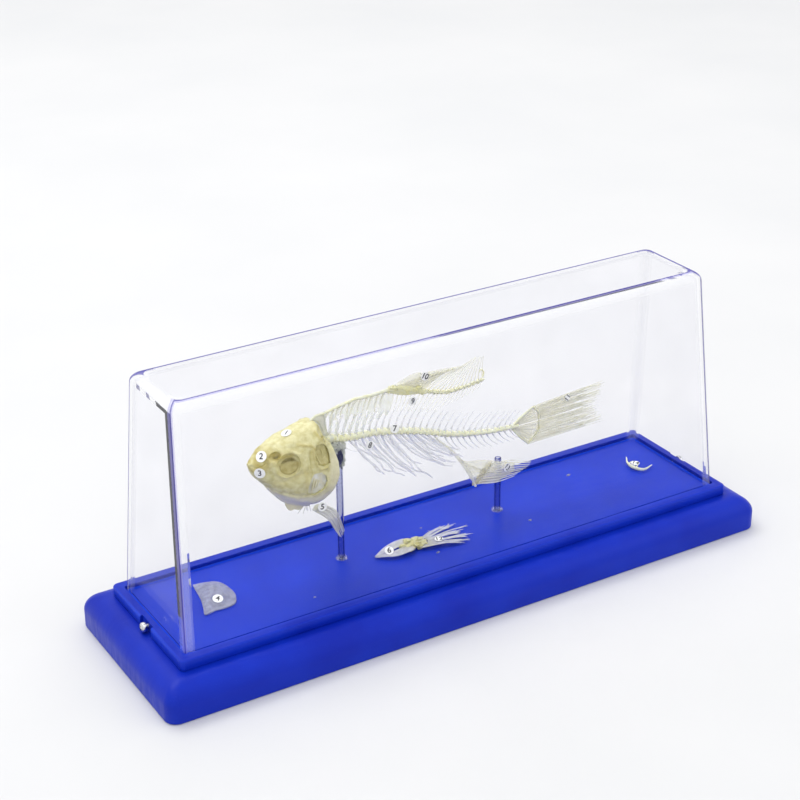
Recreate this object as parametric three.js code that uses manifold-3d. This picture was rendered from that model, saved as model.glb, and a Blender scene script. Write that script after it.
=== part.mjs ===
// Skeleton of a crucian carp on a blue tray under a clear cover, at life size.
// Millimetres, +Z up; +X runs from the snout to the tail, -Y is the fish's left side.
// The origin is the middle of the tray's underside.

import * as THREE from 'three';
import { LoftGeometry } from 'three/addons/geometries/LoftGeometry.js';
import { mergeVertices } from 'three/addons/utils/BufferGeometryUtils.js';
import Module from 'manifold-3d';

// ---- driving dimensions -------------------------------------------------------------------

const GAP = 0.3;            // clearance between neighbouring pieces
const SUTURE = 0.34;        // width of the thin cuts that part one bone from the next

const BASE = { length: 300, depth: 91, corner: 5.5, side: 7.5, shoulder: 16, inset: 9.3 };
const RIM = { length: 278, depth: 70, top: 21, round: 0.9, corner: 2.2 };
const FLOOR = 19.5;         // top of the tray floor, where the loose bones lie
const GROOVE = { bottom: 16.4, room: 0.8 };
const TAB = { width: 13, recess: 1.3, below: 4.8 };
const COVER = {
  length: 270, depth: 60, topLength: 260, topDepth: 40, top: 124, wall: 2.2, round: 4, corner: 3,
  skirtReach: 0.25,
};
const SCREW = { head: 4.4, headThick: 2.4, shank: 2, standOff: 1.3, z: 18.6, bore: 2.6 };
const ROD = {
  diameter: 3, footDiameter: 5.2, footHeight: 1.1, chamfer: 0.3, frontX: -44.6, rearX: 36.8, rearTop: 46.5,
};

const MID = 4;              // Y of the fish's mid-plane
const HEAD = {
  front: -87.2, back: -47, wall: 1.4, sides: 14, reach: 20,
  stations: [-87.2, -85.6, -83, -79.6, -75, -69.6, -64, -58.8, -54.9, -52, -47],
};
const KEEL = { half: 2.6, front: -79.6, back: -61, top: 65.6, fin: 0.6 };
const ORBIT = { x: -72.7, z: 77.4, out: 9.4, radii: [4.6, 5, 4.6] };
const NOSTRIL = { x: -77.6, z: 81.3, out: 6.1, radii: [2.5, 2.2, 1.9] };

const SPINE = { start: -50.5, trunk: 18, tail: 13, pitch: 3.16, rim: 1.65, waist: 1.15, end: 1.15 };
const RIBS = { first: 3, count: 13, arc: 1.2, bulge: 9.5, width: 1, thick: 0.65 };
const PECTORAL = {
  out: 7.2,
  left: {
    rays: 4,
    fore: [[-60.8, 51.3], [-54.8, 45.6], [-50.4, 35.9]],
    hind: [[-57, 53.4], [-51.2, 49], [-47.4, 37.4]],
  },
  right: {
    rays: 3,
    fore: [[-60.2, 52], [-60, 47.8], [-60.3, 43]],
    hind: [[-57.4, 52.4], [-56.6, 47.4], [-55.6, 41.2]],
  },
};
const DORSAL = { start: -19.5, end: 28.5, rays: 13, firstGap: 7 };
const ANAL = { yaw: -0.077, pivotX: 8, rays: 4 };
const GILL_COVER = { radius: 46, thick: 0.8, rise: 2.6, spread: 0.42, x: -105, y: 5 };
const PELVIC = {
  rays: 4,
  left: { root: [[-9, -5.8], [-11.4, -9.6]], tip: [[16, -7], [1, -14]] },
  right: { root: [[-8.7, -2.5], [-10.5, 0.7]], tip: [[18.6, -2.2], [9, 4.6]] },
};
const TAIL = {
  root: 46.5, rays: 6, thick: 0.6, middle: 59.6, fork: 60,
  upper: { fanX: 58.4, edge: 66.9, tip: 70.8 },
  lower: { fanX: 55, edge: 48.6, tip: 49.6 },
};

const COLOURS = {
  tray: 0x1c34c4, cover: 0xe9ecf8, chrome: 0xc9ccd2, rod: 0x8f96b4,
  skull: 0xe2dca6, cheek: 0xcfca9a, spine: 0xe8e6bf, rib: 0xdfe0d6, fin: 0xdcdcc0, loose: 0xd8dad2,
};

const v3 = (x, y, z) => new THREE.Vector3(x, y, z);
const mix = THREE.MathUtils.lerp;

// ---- solids and smooth lines --------------------------------------------------------------

const wasm = await Module();
wasm.setup();

// A closed geometry as a solid, with its shared corners merged and its faces turned outwards.
function solid(geometry) {
  const bare = new THREE.BufferGeometry().copy(geometry);
  for (const name of Object.keys(bare.attributes)) if (name !== 'position') bare.deleteAttribute(name);
  const merged = mergeVertices(bare, 1e-4);
  const index = merged.index.array;
  const triangles = [];
  for (let i = 0; i < index.length; i += 3) {
    const [a, b, c] = [index[i], index[i + 1], index[i + 2]];
    if (a !== b && b !== c && c !== a) triangles.push(a, b, c);
  }
  const body = () => new wasm.Manifold(new wasm.Mesh({
    numProp: 3,
    vertProperties: new Float32Array(merged.attributes.position.array),
    triVerts: new Uint32Array(triangles),
  }));
  const first = body();
  if (first.volume() > 0) return first;
  for (let i = 0; i < triangles.length; i += 3) {
    [triangles[i], triangles[i + 1]] = [triangles[i + 1], triangles[i]];
  }
  return body();
}

function geometryOf(body) {
  const mesh = body.getMesh();
  const geometry = new THREE.BufferGeometry();
  geometry.setAttribute('position', new THREE.BufferAttribute(new Float32Array(mesh.vertProperties), 3));
  geometry.setIndex(new THREE.BufferAttribute(new Uint32Array(mesh.triVerts), 1));
  geometry.computeVertexNormals();
  return geometry;
}

const joined = (bodies) => bodies.reduce((sum, body) => sum.add(body));

// The largest connected part, which drops the slivers that a thin cut can leave.
function largest(body) {
  return body.decompose().reduce((best, part) => (part.volume() > best.volume() ? part : best));
}

// Smooth height over x through a few [x, height] points.
function smoothLine(points) {
  const slope = points.map((p, i) => {
    const a = points[Math.max(i - 1, 0)];
    const b = points[Math.min(i + 1, points.length - 1)];
    return (b[1] - a[1]) / (b[0] - a[0]);
  });
  return (x) => {
    let i = 0;
    while (i < points.length - 2 && x > points[i + 1][0]) i += 1;
    const span = points[i + 1][0] - points[i][0];
    const t = THREE.MathUtils.clamp((x - points[i][0]) / span, 0, 1);
    const [t2, t3] = [t * t, t * t * t];
    return (2 * t3 - 3 * t2 + 1) * points[i][1] + (t3 - 2 * t2 + t) * span * slope[i]
      + (3 * t2 - 2 * t3) * points[i + 1][1] + (t3 - t2) * span * slope[i + 1];
  };
}

// A ring of points round a centre, with its flats at the given half sizes.
function ring(centre, across, over, halfAcross, halfOver, sides) {
  const flat = sides === 3 ? 1.3 : 1 / Math.cos(Math.PI / sides);
  return Array.from({ length: sides }, (_, k) => {
    const angle = (2 * Math.PI * (k + 0.5)) / sides;
    return centre.clone()
      .addScaledVector(across, halfAcross * flat * Math.cos(angle))
      .addScaledVector(over, halfOver * flat * Math.sin(angle));
  });
}

const loft = (sections) => solid(new LoftGeometry(sections, { capStart: true, capEnd: true }));

// A bar along a smooth line. width lies along side, thick at right angles to it.
function bar(points, width, thick, { sides = 4, steps = 2, side = v3(0, 1, 0) } = {}) {
  const curve = new THREE.CatmullRomCurve3(points);
  const sections = [];
  for (let i = 0; i <= steps; i += 1) {
    const t = i / steps;
    const along = curve.getTangent(t);
    const across = side.clone().addScaledVector(along, -side.dot(along)).normalize();
    const over = along.clone().cross(across);
    sections.push(ring(curve.getPoint(t), across, over, width(t) / 2, thick(t) / 2, sides));
  }
  return loft(sections);
}

const taper = (from, to) => (t) => mix(from, to, t);

// A plate with an outline in the X-Z plane, between two Y values.
function plate(outline, yFrom, yTo) {
  const shape = new THREE.Shape(outline.map(([x, z]) => new THREE.Vector2(x, z)));
  const geometry = new THREE.ExtrudeGeometry(shape, { depth: yTo - yFrom, bevelEnabled: false });
  geometry.rotateX(Math.PI / 2);
  geometry.translate(0, yTo, 0);
  return solid(geometry);
}

function box(xs, ys, zs) {
  const geometry = new THREE.BoxGeometry(xs[1] - xs[0], ys[1] - ys[0], zs[1] - zs[0]);
  geometry.translate((xs[0] + xs[1]) / 2, (ys[0] + ys[1]) / 2, (zs[0] + zs[1]) / 2);
  return solid(geometry);
}

function ball(centre, radii, segments = 10) {
  const geometry = new THREE.SphereGeometry(1, segments, Math.round(segments * 0.7));
  geometry.rotateX(Math.PI / 2);
  geometry.scale(...radii);
  geometry.translate(centre.x, centre.y, centre.z);
  return solid(geometry);
}

// The strip that a thin saw takes away along a line in the X-Z plane.
function saw(line, yFrom, yTo) {
  const left = [];
  const right = [];
  line.forEach(([x, z], i) => {
    const [ax, az] = line[Math.max(i - 1, 0)];
    const [bx, bz] = line[Math.min(i + 1, line.length - 1)];
    const length = Math.hypot(bx - ax, bz - az);
    const [nx, nz] = [(-(bz - az) / length) * (SUTURE / 2), ((bx - ax) / length) * (SUTURE / 2)];
    left.push([x + nx, z + nz]);
    right.unshift([x - nx, z - nz]);
  });
  return plate([...left, ...right], yFrom, yTo);
}

const ordered = (a, b) => [Math.min(a, b), Math.max(a, b)];
const sideY = (side, out) => MID + side * out;   // side is -1 for the fish's left, +1 for its right

// A plate that lies on one side of the mid-plane, from one distance out to another.
function sidePlate(outline, side, near, far) {
  return plate(outline, ...ordered(sideY(side, near), sideY(side, far)));
}

// ---- tray, cover, screws and rods ---------------------------------------------------------

// A closed outline of a rectangle with round corners at one height.
function roundedRing(length, depth, corner, z, steps = 3) {
  const points = [];
  const [halfX, halfY] = [length / 2 - corner, depth / 2 - corner];
  [[1, 1], [-1, 1], [-1, -1], [1, -1]].forEach(([sx, sy], quarter) => {
    for (let i = 0; i <= steps; i += 1) {
      const angle = ((quarter + i / steps) * Math.PI) / 2;
      points.push(v3(sx * halfX + corner * Math.cos(angle), sy * halfY + corner * Math.sin(angle), z));
    }
  });
  return points;
}

function tray() {
  const at = (inset, z, corner) => roundedRing(BASE.length - 2 * inset, BASE.depth - 2 * inset, corner, z);
  const rise = BASE.shoulder - BASE.side;
  const sections = [at(0.8, 0, BASE.corner - 0.8), at(0, 0.8, BASE.corner), at(0, BASE.side, BASE.corner)];
  for (let i = 1; i <= 4; i += 1) {
    const angle = (i / 4) * (Math.PI / 2);
    const inset = BASE.inset * (1 - Math.cos(angle));
    sections.push(at(inset, BASE.side + rise * Math.sin(angle), mix(BASE.corner, RIM.corner, i / 4)));
  }
  const rim = (inset, z) => roundedRing(RIM.length - 2 * inset, RIM.depth - 2 * inset, RIM.corner, z);
  sections.push(rim(0, BASE.shoulder + 0.6), rim(0, RIM.top - RIM.round));
  sections.push(rim(RIM.round * 0.3, RIM.top - RIM.round * 0.3), rim(RIM.round, RIM.top));
  const body = loft(sections);
  const well = (reach, from, to) => loft([from, to].map(
    (z) => roundedRing(COVER.length + 2 * reach, COVER.depth + 2 * reach, 1.4, z, 2)));
  const island = well(-COVER.wall - GAP, GROOVE.bottom - 1, FLOOR + 1);
  const groove = well(GROOVE.room, GROOVE.bottom, FLOOR).subtract(island);
  return largest(notchEnds(body.subtract(well(GROOVE.room, FLOOR, RIM.top + 1)).subtract(groove)));
}

// The middle of each end of the rim is set back, and a bore there takes the screw.
function notchEnds(body) {
  const half = TAB.width / 2;
  let result = body;
  for (const end of [-1, 1]) {
    const span = (a, b) => ordered(end * a, end * b);
    const outer = RIM.length / 2;
    const recess = box(
      span(outer - TAB.recess, outer + 4), [-half + 1, half - 1], [RIM.top - TAB.below, RIM.top + 1]);
    const bore = new THREE.CylinderGeometry(SCREW.bore / 2, SCREW.bore / 2, 12, 10);
    bore.rotateZ(Math.PI / 2);
    bore.translate(end * outer, 0, SCREW.z);
    result = result.subtract(recess).subtract(solid(bore));
  }
  return result;
}

function cover() {
  const lean = (z) => (z - RIM.top) / (COVER.top - RIM.top);
  const at = (inset, z, corner) => roundedRing(
    mix(COVER.length, COVER.topLength, lean(z)) - 2 * inset,
    mix(COVER.depth, COVER.topDepth, lean(z)) - 2 * inset, corner, z);
  const shell = (inset, low, top, round) => {
    const corner = Math.max(COVER.corner - inset, 0.8);
    const sections = [at(inset, low, corner), at(inset, top - round, corner)];
    for (let i = 1; i <= 3; i += 1) {
      const angle = (i / 3) * (Math.PI / 2);
      const shrink = round * (1 - Math.cos(angle));
      sections.push(at(inset + shrink, top - round + round * Math.sin(angle), Math.max(corner, shrink)));
    }
    return loft(sections);
  };
  const bottom = GROOVE.bottom + GAP;
  const outside = shell(0, bottom, COVER.top, COVER.round);
  const inside = shell(COVER.wall, bottom - 1, COVER.top - COVER.wall, COVER.round - COVER.wall + 0.6);
  return outside.subtract(inside);
}

// A round-headed screw that goes in along X, its shank pressing on the cover's skirt.
function screw(end) {
  const rimFace = RIM.length / 2 - TAB.recess;
  const tip = COVER.length / 2 + COVER.skirtReach + GAP;
  const { head, headThick, shank, standOff } = SCREW;
  const profile = [
    [0, tip], [shank / 2 - 0.4, tip], [shank / 2, tip + 0.4],
    [shank / 2, rimFace + standOff], [head / 2, rimFace + standOff + 0.2],
    [head / 2, rimFace + standOff + headThick * 0.45], [head * 0.38, rimFace + standOff + headThick * 0.85],
    [0, rimFace + standOff + headThick],
  ].map(([r, x]) => new THREE.Vector2(r, x));
  const geometry = new THREE.LatheGeometry(profile, 8);
  geometry.rotateZ(-end * Math.PI / 2);
  geometry.translate(0, 0, SCREW.z);
  const face = rimFace + standOff + headThick;
  const slotX = ordered(end * (face - 0.5), end * (face + 1));
  const slot = box(slotX, [-0.3, 0.3], [SCREW.z - 1.2, SCREW.z + 1.2]);
  return solid(geometry).subtract(slot);
}

// A straight rod with a low bead of glue round its foot.
function rod(x, top) {
  const bottom = FLOOR + GAP;
  const [r, foot] = [ROD.diameter / 2, ROD.footDiameter / 2];
  const profile = [
    [0, bottom], [foot, bottom], [foot * 0.92, bottom + ROD.footHeight * 0.6], [r, bottom + ROD.footHeight],
    [r, top - ROD.chamfer], [r - ROD.chamfer, top], [0, top],
  ].map(([radius, z]) => new THREE.Vector2(radius, z));
  const geometry = new THREE.LatheGeometry(profile, 10);
  geometry.rotateX(Math.PI / 2);
  geometry.translate(x, MID, 0);
  return solid(geometry);
}

// ---- head ---------------------------------------------------------------------------------

const roofLine = smoothLine([
  [-87.2, 77.6], [-85.3, 79.3], [-81, 82.6], [-74, 85.7], [-67, 87.8], [-61, 89.1], [-55.4, 90],
  [-53, 88.2], [-50.6, 82], [-47, 78.5],
]);
const keelLine = smoothLine([
  [-87.2, 76.5], [-86.3, 73.2], [-84.9, 71], [-81, 66.4], [-77, 61.4], [-72.6, 56.6], [-66, 53],
  [-60, 51.2], [-55, 51.6], [-50.5, 55.5], [-47, 62],
]);
const headWidth = smoothLine([
  [-87.2, 1.2], [-85.5, 3.2], [-81, 6.2], [-74, 9.1], [-64, 11.2], [-56, 11.8], [-47, 9.6],
]);

// The full form of the head, drawn in by a wall thickness: a broad roof over a narrowing throat.
function headForm(inset, front, back) {
  const sections = HEAD.stations.map((station) => {
    const x = THREE.MathUtils.mapLinear(station, HEAD.front, HEAD.back, front, back);
    const top = roofLine(x) - inset;
    const bottom = keelLine(x) + inset;
    const half = Math.max(headWidth(x) - inset, 0.4);
    const middle = (top + bottom) / 2;
    const rise = Math.max((top - bottom) / 2, 0.4);
    return Array.from({ length: HEAD.sides }, (_, k) => {
      const angle = (-2 * Math.PI * (k + 0.5)) / HEAD.sides;
      const [s, c] = [Math.sin(angle), Math.cos(angle)];
      const fullness = 0.98 - 0.26 * c;
      return v3(x, MID + Math.sign(s) * half * Math.abs(s) ** fullness, middle + rise * c);
    });
  });
  return loft(sections);
}

const SUTURES = {
  snout: [[-80.4, 95], [-80.6, 79], [-80.9, 75.4]],
  skullBase: [
    [-80.6, 78.2], [-77, 76.6], [-72.7, 77.4], [-68, 77.4], [-64.4, 79.4], [-61.9, 82.6], [-58, 82],
    [-54.5, 81.2], [-48, 78.8],
  ],
  mouth: [[-92, 79.4], [-87.2, 77.7], [-84.2, 76.6], [-80.9, 75.4]],
  jawJoint: [[-80.9, 75.4], [-79.6, 69], [-79.8, 55]],
  gillCover: [[-61.9, 82.6], [-62.3, 76], [-63.4, 69], [-62.6, 60], [-61.8, 53], [-62.2, 44]],
  shoulder: [
    [-54.5, 81.2], [-53.4, 75.5], [-53.2, 70], [-54.4, 63.5], [-57.2, 56.5], [-59.8, 52.5], [-60.2, 44],
  ],
};
const SHOULDER_BACK = [
  [-52, 84], [-51.3, 79.5], [-50, 72.5], [-50.2, 66.2], [-52.2, 60.2], [-55.4, 54.4], [-57.6, 50],
  [-57.8, 44],
];
const UPPER_OPENING = [
  [-60.9, 81.4], [-54.9, 79.8], [-53.9, 75.6], [-54.4, 72.4], [-56.6, 72.7], [-60, 75.2],
];
const LOWER_OPENING = [[-54.1, 69.6], [-54.2, 66], [-55.5, 61.6], [-58.8, 57], [-61.2, 59.4], [-61.6, 63]];
const BRAINCASE = [
  [-78.5, 78], [-76, 72.5], [-70, 70.5], [-62, 71], [-55, 76], [-52.5, 79], [-52.5, 84], [-78.5, 80],
];
const TONGUE = [[-70.6, 55], [-69.9, 51.2], [-68, 50], [-64, 49.7], [-61.6, 48.4], [-61.2, 52]];

const reversed = (line) => [...line].reverse();
const bothWays = [MID - HEAD.reach, MID + HEAD.reach];

// The orbits and nostrils of both sides, as one solid to take away.
function faceHoles() {
  const hole = ({ x, z, out, radii }, side, segments) => ball(v3(x, sideY(side, out), z), radii, segments);
  return joined([-1, 1].flatMap((side) => [hole(ORBIT, side, 10), hole(NOSTRIL, side, 7)]));
}

// The roof of the skull with the closed braincase under it.
function neurocranium(form, cuts, holes) {
  const core = headForm(HEAD.wall + 2 * SUTURE, HEAD.front + HEAD.wall + SUTURE, HEAD.back);
  const roof = [[-80.5, 95], [-80.6, 78.2], ...SUTURES.skullBase.slice(1), [-48, 95]];
  const behind = box([-50.9, -40], bothWays, [60, 100]);
  return form.intersect(plate(roof, ...bothWays)).subtract(cuts)
    .add(core.intersect(plate(BRAINCASE, ...bothWays))).subtract(holes).subtract(behind);
}

// The room that the keel of the throat takes, and the thin cut along the mid-plane.
function underCuts() {
  const reach = KEEL.half + SUTURE;
  const keelRoom = box(
    [KEEL.front - SUTURE, KEEL.back + 2], [MID - reach, MID + reach], [40, KEEL.top + SUTURE]);
  return keelRoom.add(box([-90, -40], [MID - SUTURE / 2, MID + SUTURE / 2], [40, 72]));
}

// The keel of the throat with the thin blade that hangs under it.
function throat(shell) {
  const keel = box([KEEL.front, KEEL.back], [MID - KEEL.half, MID + KEEL.half], [44, KEEL.top]);
  return shell.intersect(keel).add(plate(TONGUE, MID - KEEL.fin, MID + KEEL.fin));
}

function headBones() {
  const form = headForm(0, HEAD.front, HEAD.back);
  const shell = form.subtract(headForm(HEAD.wall, HEAD.front + HEAD.wall, HEAD.back + 3));
  const cuts = joined(Object.values(SUTURES).map((line) => saw(line, ...bothWays)));
  const holes = faceHoles();
  const walls = shell.subtract(holes).subtract(underCuts());

  const { snout, skullBase, mouth, jawJoint, gillCover, shoulder } = SUTURES;
  const front = [[-80, 44], ...reversed(jawJoint).slice(1), ...skullBase.slice(1, 6)];
  const upperJaw = [[-92, 95], ...snout, ...reversed(mouth).slice(1)];
  const lowerJaw = [...mouth, ...jawJoint.slice(1), [-92, 55]];
  const cheek = [...front, ...gillCover.slice(1)];
  const opercle = [...gillCover, ...reversed(shoulder), [-58, 82]];
  const girdle = [...shoulder, ...reversed(SHOULDER_BACK)];
  const openCheek = [...front, [-58, 82], ...shoulder];

  const onSide = (outline, side) => (
    largest(walls.intersect(sidePlate(outline, side, 0, HEAD.reach)).subtract(cuts)));
  const leftCuts = joined([
    ...[skullBase, jawJoint, shoulder, snout].map((line) => saw(line, MID - HEAD.reach, MID)),
    ...[UPPER_OPENING, LOWER_OPENING].map((outline) => sidePlate(outline, -1, 0, HEAD.reach)),
  ]);
  return {
    neurocranium: largest(neurocranium(form, cuts, holes)),
    jaw_upper: largest(form.intersect(plate(upperJaw, ...bothWays)).subtract(cuts)),
    jaw_lower: largest(shell.intersect(plate(lowerJaw, ...bothWays)).subtract(cuts)),
    cheek_left: largest(walls.intersect(sidePlate(openCheek, -1, 0, HEAD.reach)).subtract(leftCuts)),
    cheek_right: onSide(cheek, 1),
    opercle_right: onSide(opercle, 1),
    girdle_left: onSide(girdle, -1),
    girdle_right: onSide(girdle, 1),
    throat: largest(throat(shell)),
  };
}

// ---- spine and ribs -----------------------------------------------------------------------

const spineLine = smoothLine([
  [-51, 79.8], [-40, 77.2], [-26, 76.1], [-7, 71.6], [13, 64.7], [30, 61.3], [48, 59.6],
]);
const trunkEnd = SPINE.start + SPINE.trunk * SPINE.pitch;
const tailEnd = trunkEnd + SPINE.tail * SPINE.pitch;
const spineX = (index) => SPINE.start + (index + 0.5) * SPINE.pitch;
const onSpine = (x, up = 0, out = 0) => v3(x, MID + out, spineLine(x) + up);

// Sections of a vertebra as [out, up] points round its axis: whole, upper half, lower quarters.
const fullRing = (r) => [18, 90, 162, 234, 306].map((degrees) => {
  const angle = THREE.MathUtils.degToRad(degrees);
  return [r * Math.cos(angle), r * Math.sin(angle)];
});
const halfCut = SUTURE / 2;
const upperHalf = (r) => [[r, halfCut], [r * 0.6, r * 0.8], [-r * 0.6, r * 0.8], [-r, halfCut]];
const rightQuarter = (r) => [[halfCut, -halfCut], [halfCut, -r], [r, -halfCut]];
const leftQuarter = (r) => [[-halfCut, -halfCut], [-r, -halfCut], [-halfCut, -r]];

// Hourglass-shaped vertebrae in one column: wide at every joint, narrow in between.
function column(from, count, section, widthAt = () => 1) {
  const sections = [];
  for (let i = 0; i <= count * 2; i += 1) {
    const x = from + (i / 2) * SPINE.pitch;
    const radius = (i % 2 ? SPINE.waist : SPINE.rim) * widthAt(x);
    sections.push(section(radius).map(([out, up]) => onSpine(x, up, out)));
  }
  return loft(sections);
}

const spineLength = smoothLine([[0, 10], [17, 9.2], [24, 8.4], [31, 6]]);
const spineLean = smoothLine([[0, 0.28], [17, 0.62], [31, 0.95]]);

// Where the spine above (up = 1) or below (up = -1) a vertebra ends.
function spineTip(index, up) {
  const length = spineLength(index);
  return onSpine(spineX(index)).add(v3(spineLean(index) * length, 0, up * length));
}

function trunkSpine() {
  const parts = [column(SPINE.start, SPINE.trunk, upperHalf)];
  for (let i = 0; i < SPINE.trunk; i += 1) {
    const [root, tip] = [onSpine(spineX(i), 0.6), spineTip(i, 1)];
    const width = mix(1.9, 0.9, i / (SPINE.trunk - 1));
    parts.push(bar([root, tip], taper(0.9, 0.6), taper(width, 0.6), { sides: 3, steps: 1 }));
  }
  return joined(parts);
}

// Each tail vertebra carries one bent bar: its upper and its lower spine.
function tailSpine() {
  const slimming = (x) => mix(1, SPINE.end / SPINE.rim, (x - trunkEnd) / (tailEnd - trunkEnd));
  const parts = [column(trunkEnd + GAP, SPINE.tail - 0.5, fullRing, slimming)];
  for (let i = SPINE.trunk; i < SPINE.trunk + SPINE.tail - 1; i += 1) {
    const line = [spineTip(i, -1), onSpine(spineX(i)), spineTip(i, 1)];
    parts.push(bar(line, () => 0.7, (t) => mix(1, 0.6, Math.abs(2 * t - 1)), { sides: 3, steps: 2 }));
  }
  return joined(parts);
}

const ribDrop = smoothLine([[0, 20], [0.2, 26], [0.4, 27.5], [0.7, 23], [1, 16]]);
const ribSweep = smoothLine([[0, 21], [0.3, 27], [0.6, 29], [0.85, 29], [1, 24]]);

// A rib drops steeply, bows outwards and sweeps back to a thin tip.
function rib(x, u, side) {
  const bulge = RIBS.bulge * mix(1, 0.6, u);
  const point = (s, out) => {
    const angle = s * RIBS.arc;
    const sweep = ribSweep(u) * (1 - Math.cos(angle)) ** 0.55;
    return onSpine(x, -0.7 - ribDrop(u) * Math.sin(angle), side * out).add(v3(sweep, 0, 0));
  };
  const points = [
    point(0, 0.5), point(0.14, 0.4 * bulge), point(0.45, bulge), point(0.75, 0.8 * bulge),
    point(1, 0.5 * bulge),
  ];
  return bar(points, () => RIBS.thick, taper(RIBS.width, RIBS.thick), { sides: 3, steps: 3 });
}

function ribCage(side) {
  const parts = [column(SPINE.start, SPINE.trunk, side > 0 ? rightQuarter : leftQuarter)];
  for (let i = 0; i < RIBS.count; i += 1) parts.push(rib(spineX(RIBS.first + i), i / (RIBS.count - 1), side));
  return joined(parts);
}

// ---- nape and fins ------------------------------------------------------------------------

const backLine = smoothLine([
  [-55, 91], [-47, 93.8], [-40, 94.7], [-33, 95], [-20, 94], [-11.5, 92], [-4, 90.2], [3, 88], [10, 86.3],
  [16.5, 86.4], [22, 86.8], [28, 87.7],
]);
const onBack = (x, up = 0) => v3(x, MID, backLine(x) + up);

// Thin broad bones between the skull and the dorsal fin, hung from the ridge of the back.
function nape() {
  const ridge = [-53.6, -49, -44, -38, -32, -26, -20.6].map((x) => onBack(x, -0.4));
  const blades = [0, 2, 4, 6].map((index) => {
    const low = spineTip(index, 1).add(v3(0, 0, GAP + 0.3));
    const top = onBack(low.x + 2.4, -0.6);
    return bar([top, low], taper(0.7, 0.6), taper(6.2, 2.2), { steps: 1 });
  });
  return joined([bar(ridge, taper(1.4, 1.2), taper(1, 1.5), { steps: 5 }), ...blades]);
}

const rayTipHeight = smoothLine([[0, 96.6], [0.4, 97.3], [0.8, 99.3], [1, 94.6]]);

// Each ray goes on below the base as a thin bone between the spines of the back.
function dorsalFin() {
  const { start, end, rays, firstGap } = DORSAL;
  const base = [0, 0.25, 0.5, 0.75, 1].map((t) => onBack(mix(start, end, t), -0.6));
  const parts = [bar(base, taper(1.5, 1.1), taper(2.4, 1.3), { steps: 6 })];
  for (let i = 0; i < rays; i += 1) {
    const u = i / (rays - 1);
    const between = spineTip(firstGap + i, 1).lerp(spineTip(firstGap + i + 1, 1), 0.5);
    const root = onBack(mix(start + 1.2, end - 0.6, u), -0.6);
    const depth = Math.min(root.z - between.z + 1.2, mix(12, 4.5, u));
    const foot = root.clone().lerp(between, depth / (root.z - between.z));
    const tip = v3(mix(15, 30, u), MID, rayTipHeight(u));
    parts.push(bar([root, tip], taper(0.8, 0.6), taper(0.9, 0.6), { sides: 3, steps: 1 }));
    parts.push(bar([root, foot], taper(0.8, 0.6), taper(1, 0.6), { sides: 3, steps: 1 }));
  }
  const web = [
    [start, 93], [-18.4, 94.2], [-8.9, 96.6], [0, 97.4], [10, 96.8], [5, 94], [-1.5, 90], [-10, 91.4],
  ];
  return joined([...parts, plate(web, MID - 0.35, MID + 0.35)]);
}

// A strut runs down from the spine to a spur; behind it a plate carries the folded rays.
function analFin() {
  const strutLine = [[3.4, 65.8], [7, 61.8], [11.4, 57.4], [16.4, 50.6], [21, 43.2], [24.2, 36]];
  const strut = bar(strutLine.map(([x, z]) => v3(x, 0, z)), taper(0.8, 1.2), taper(0.9, 2.2), { steps: 4 });
  const web = [
    [19.4, 46.2], [25, 47.6], [31, 46.3], [37, 44.4], [38, 39.8], [34, 36.2], [25, 36.8], [22.6, 39.4],
  ];
  const parts = [strut, plate(web, -0.4, 0.4)];
  for (let i = 0; i < ANAL.rays; i += 1) {
    const u = i / (ANAL.rays - 1);
    const root = v3(mix(26, 33, u), 0, mix(37, 43.6, u));
    const tip = v3(mix(44.5, 54, Math.sin((u * Math.PI) / 2)), 0, mix(34.8, 39.6, u));
    const bend = root.clone().lerp(tip, 0.5).add(v3(0, 0, mix(-1.2, 0.6, u)));
    parts.push(bar([root, bend, tip], taper(0.9, 0.6), taper(1.4, 0.7), { sides: 3 }));
  }
  const turned = geometryOf(joined(parts));
  turned.translate(-ANAL.pivotX, 0, 0);
  turned.rotateZ(ANAL.yaw);
  turned.translate(ANAL.pivotX, MID, 0);
  return solid(turned);
}

// Half of the tail fin: fused plates at the root and a fan of rays. half is +1 above, -1 below.
function tailLobe(half) {
  const { root, rays, thick, middle, fork } = TAIL;
  const { fanX, edge, tip } = half > 0 ? TAIL.upper : TAIL.lower;
  const near = middle + (half * SUTURE) / 2;
  const web = [[root, near], [root, near + half], [fanX, edge], [84, mix(near, tip, 0.86)], [84, near]];
  const parts = [plate(web, MID - thick / 2, MID + thick / 2)];
  for (let i = 0; i < rays; i += 1) {
    const u = (i + 0.6) / rays;
    const from = v3(fanX - 4 + 3.4 * u, MID, mix(near + half * 0.5, edge - half * 0.8, u));
    const to = v3(mix(90, 96, u ** 0.8), MID, mix(fork + half * 0.5, tip, u));
    parts.push(bar([from, to], taper(1.1, 0.6), taper(0.9, 0.6), { steps: 1 }));
  }
  return joined(parts);
}

// A pectoral fin hangs from the shoulder: folded rays that run down from root through bend to tip.
// Each line is [x, z]; the rays spread between the fore and the hind one.
function pectoralFin(side, { fore, hind, rays }) {
  const { out } = PECTORAL;
  const root = v3((fore[0][0] + hind[0][0]) / 2, sideY(side, out), (fore[0][1] + hind[0][1]) / 2);
  const parts = [ball(root, [2.7, 0.8, 1.7], 7)];
  for (let i = 0; i < rays; i += 1) {
    const u = i / (rays - 1);
    const line = fore.map(([x, z], k) => (
      v3(mix(x, hind[k][0], u), sideY(side, out + 0.8 * k), mix(z, hind[k][1], u))));
    parts.push(bar(line, taper(0.8, 0.6), taper(1.6, 0.9)));
  }
  return joined(parts);
}

// ---- loose bones on the tray floor --------------------------------------------------------

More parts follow.
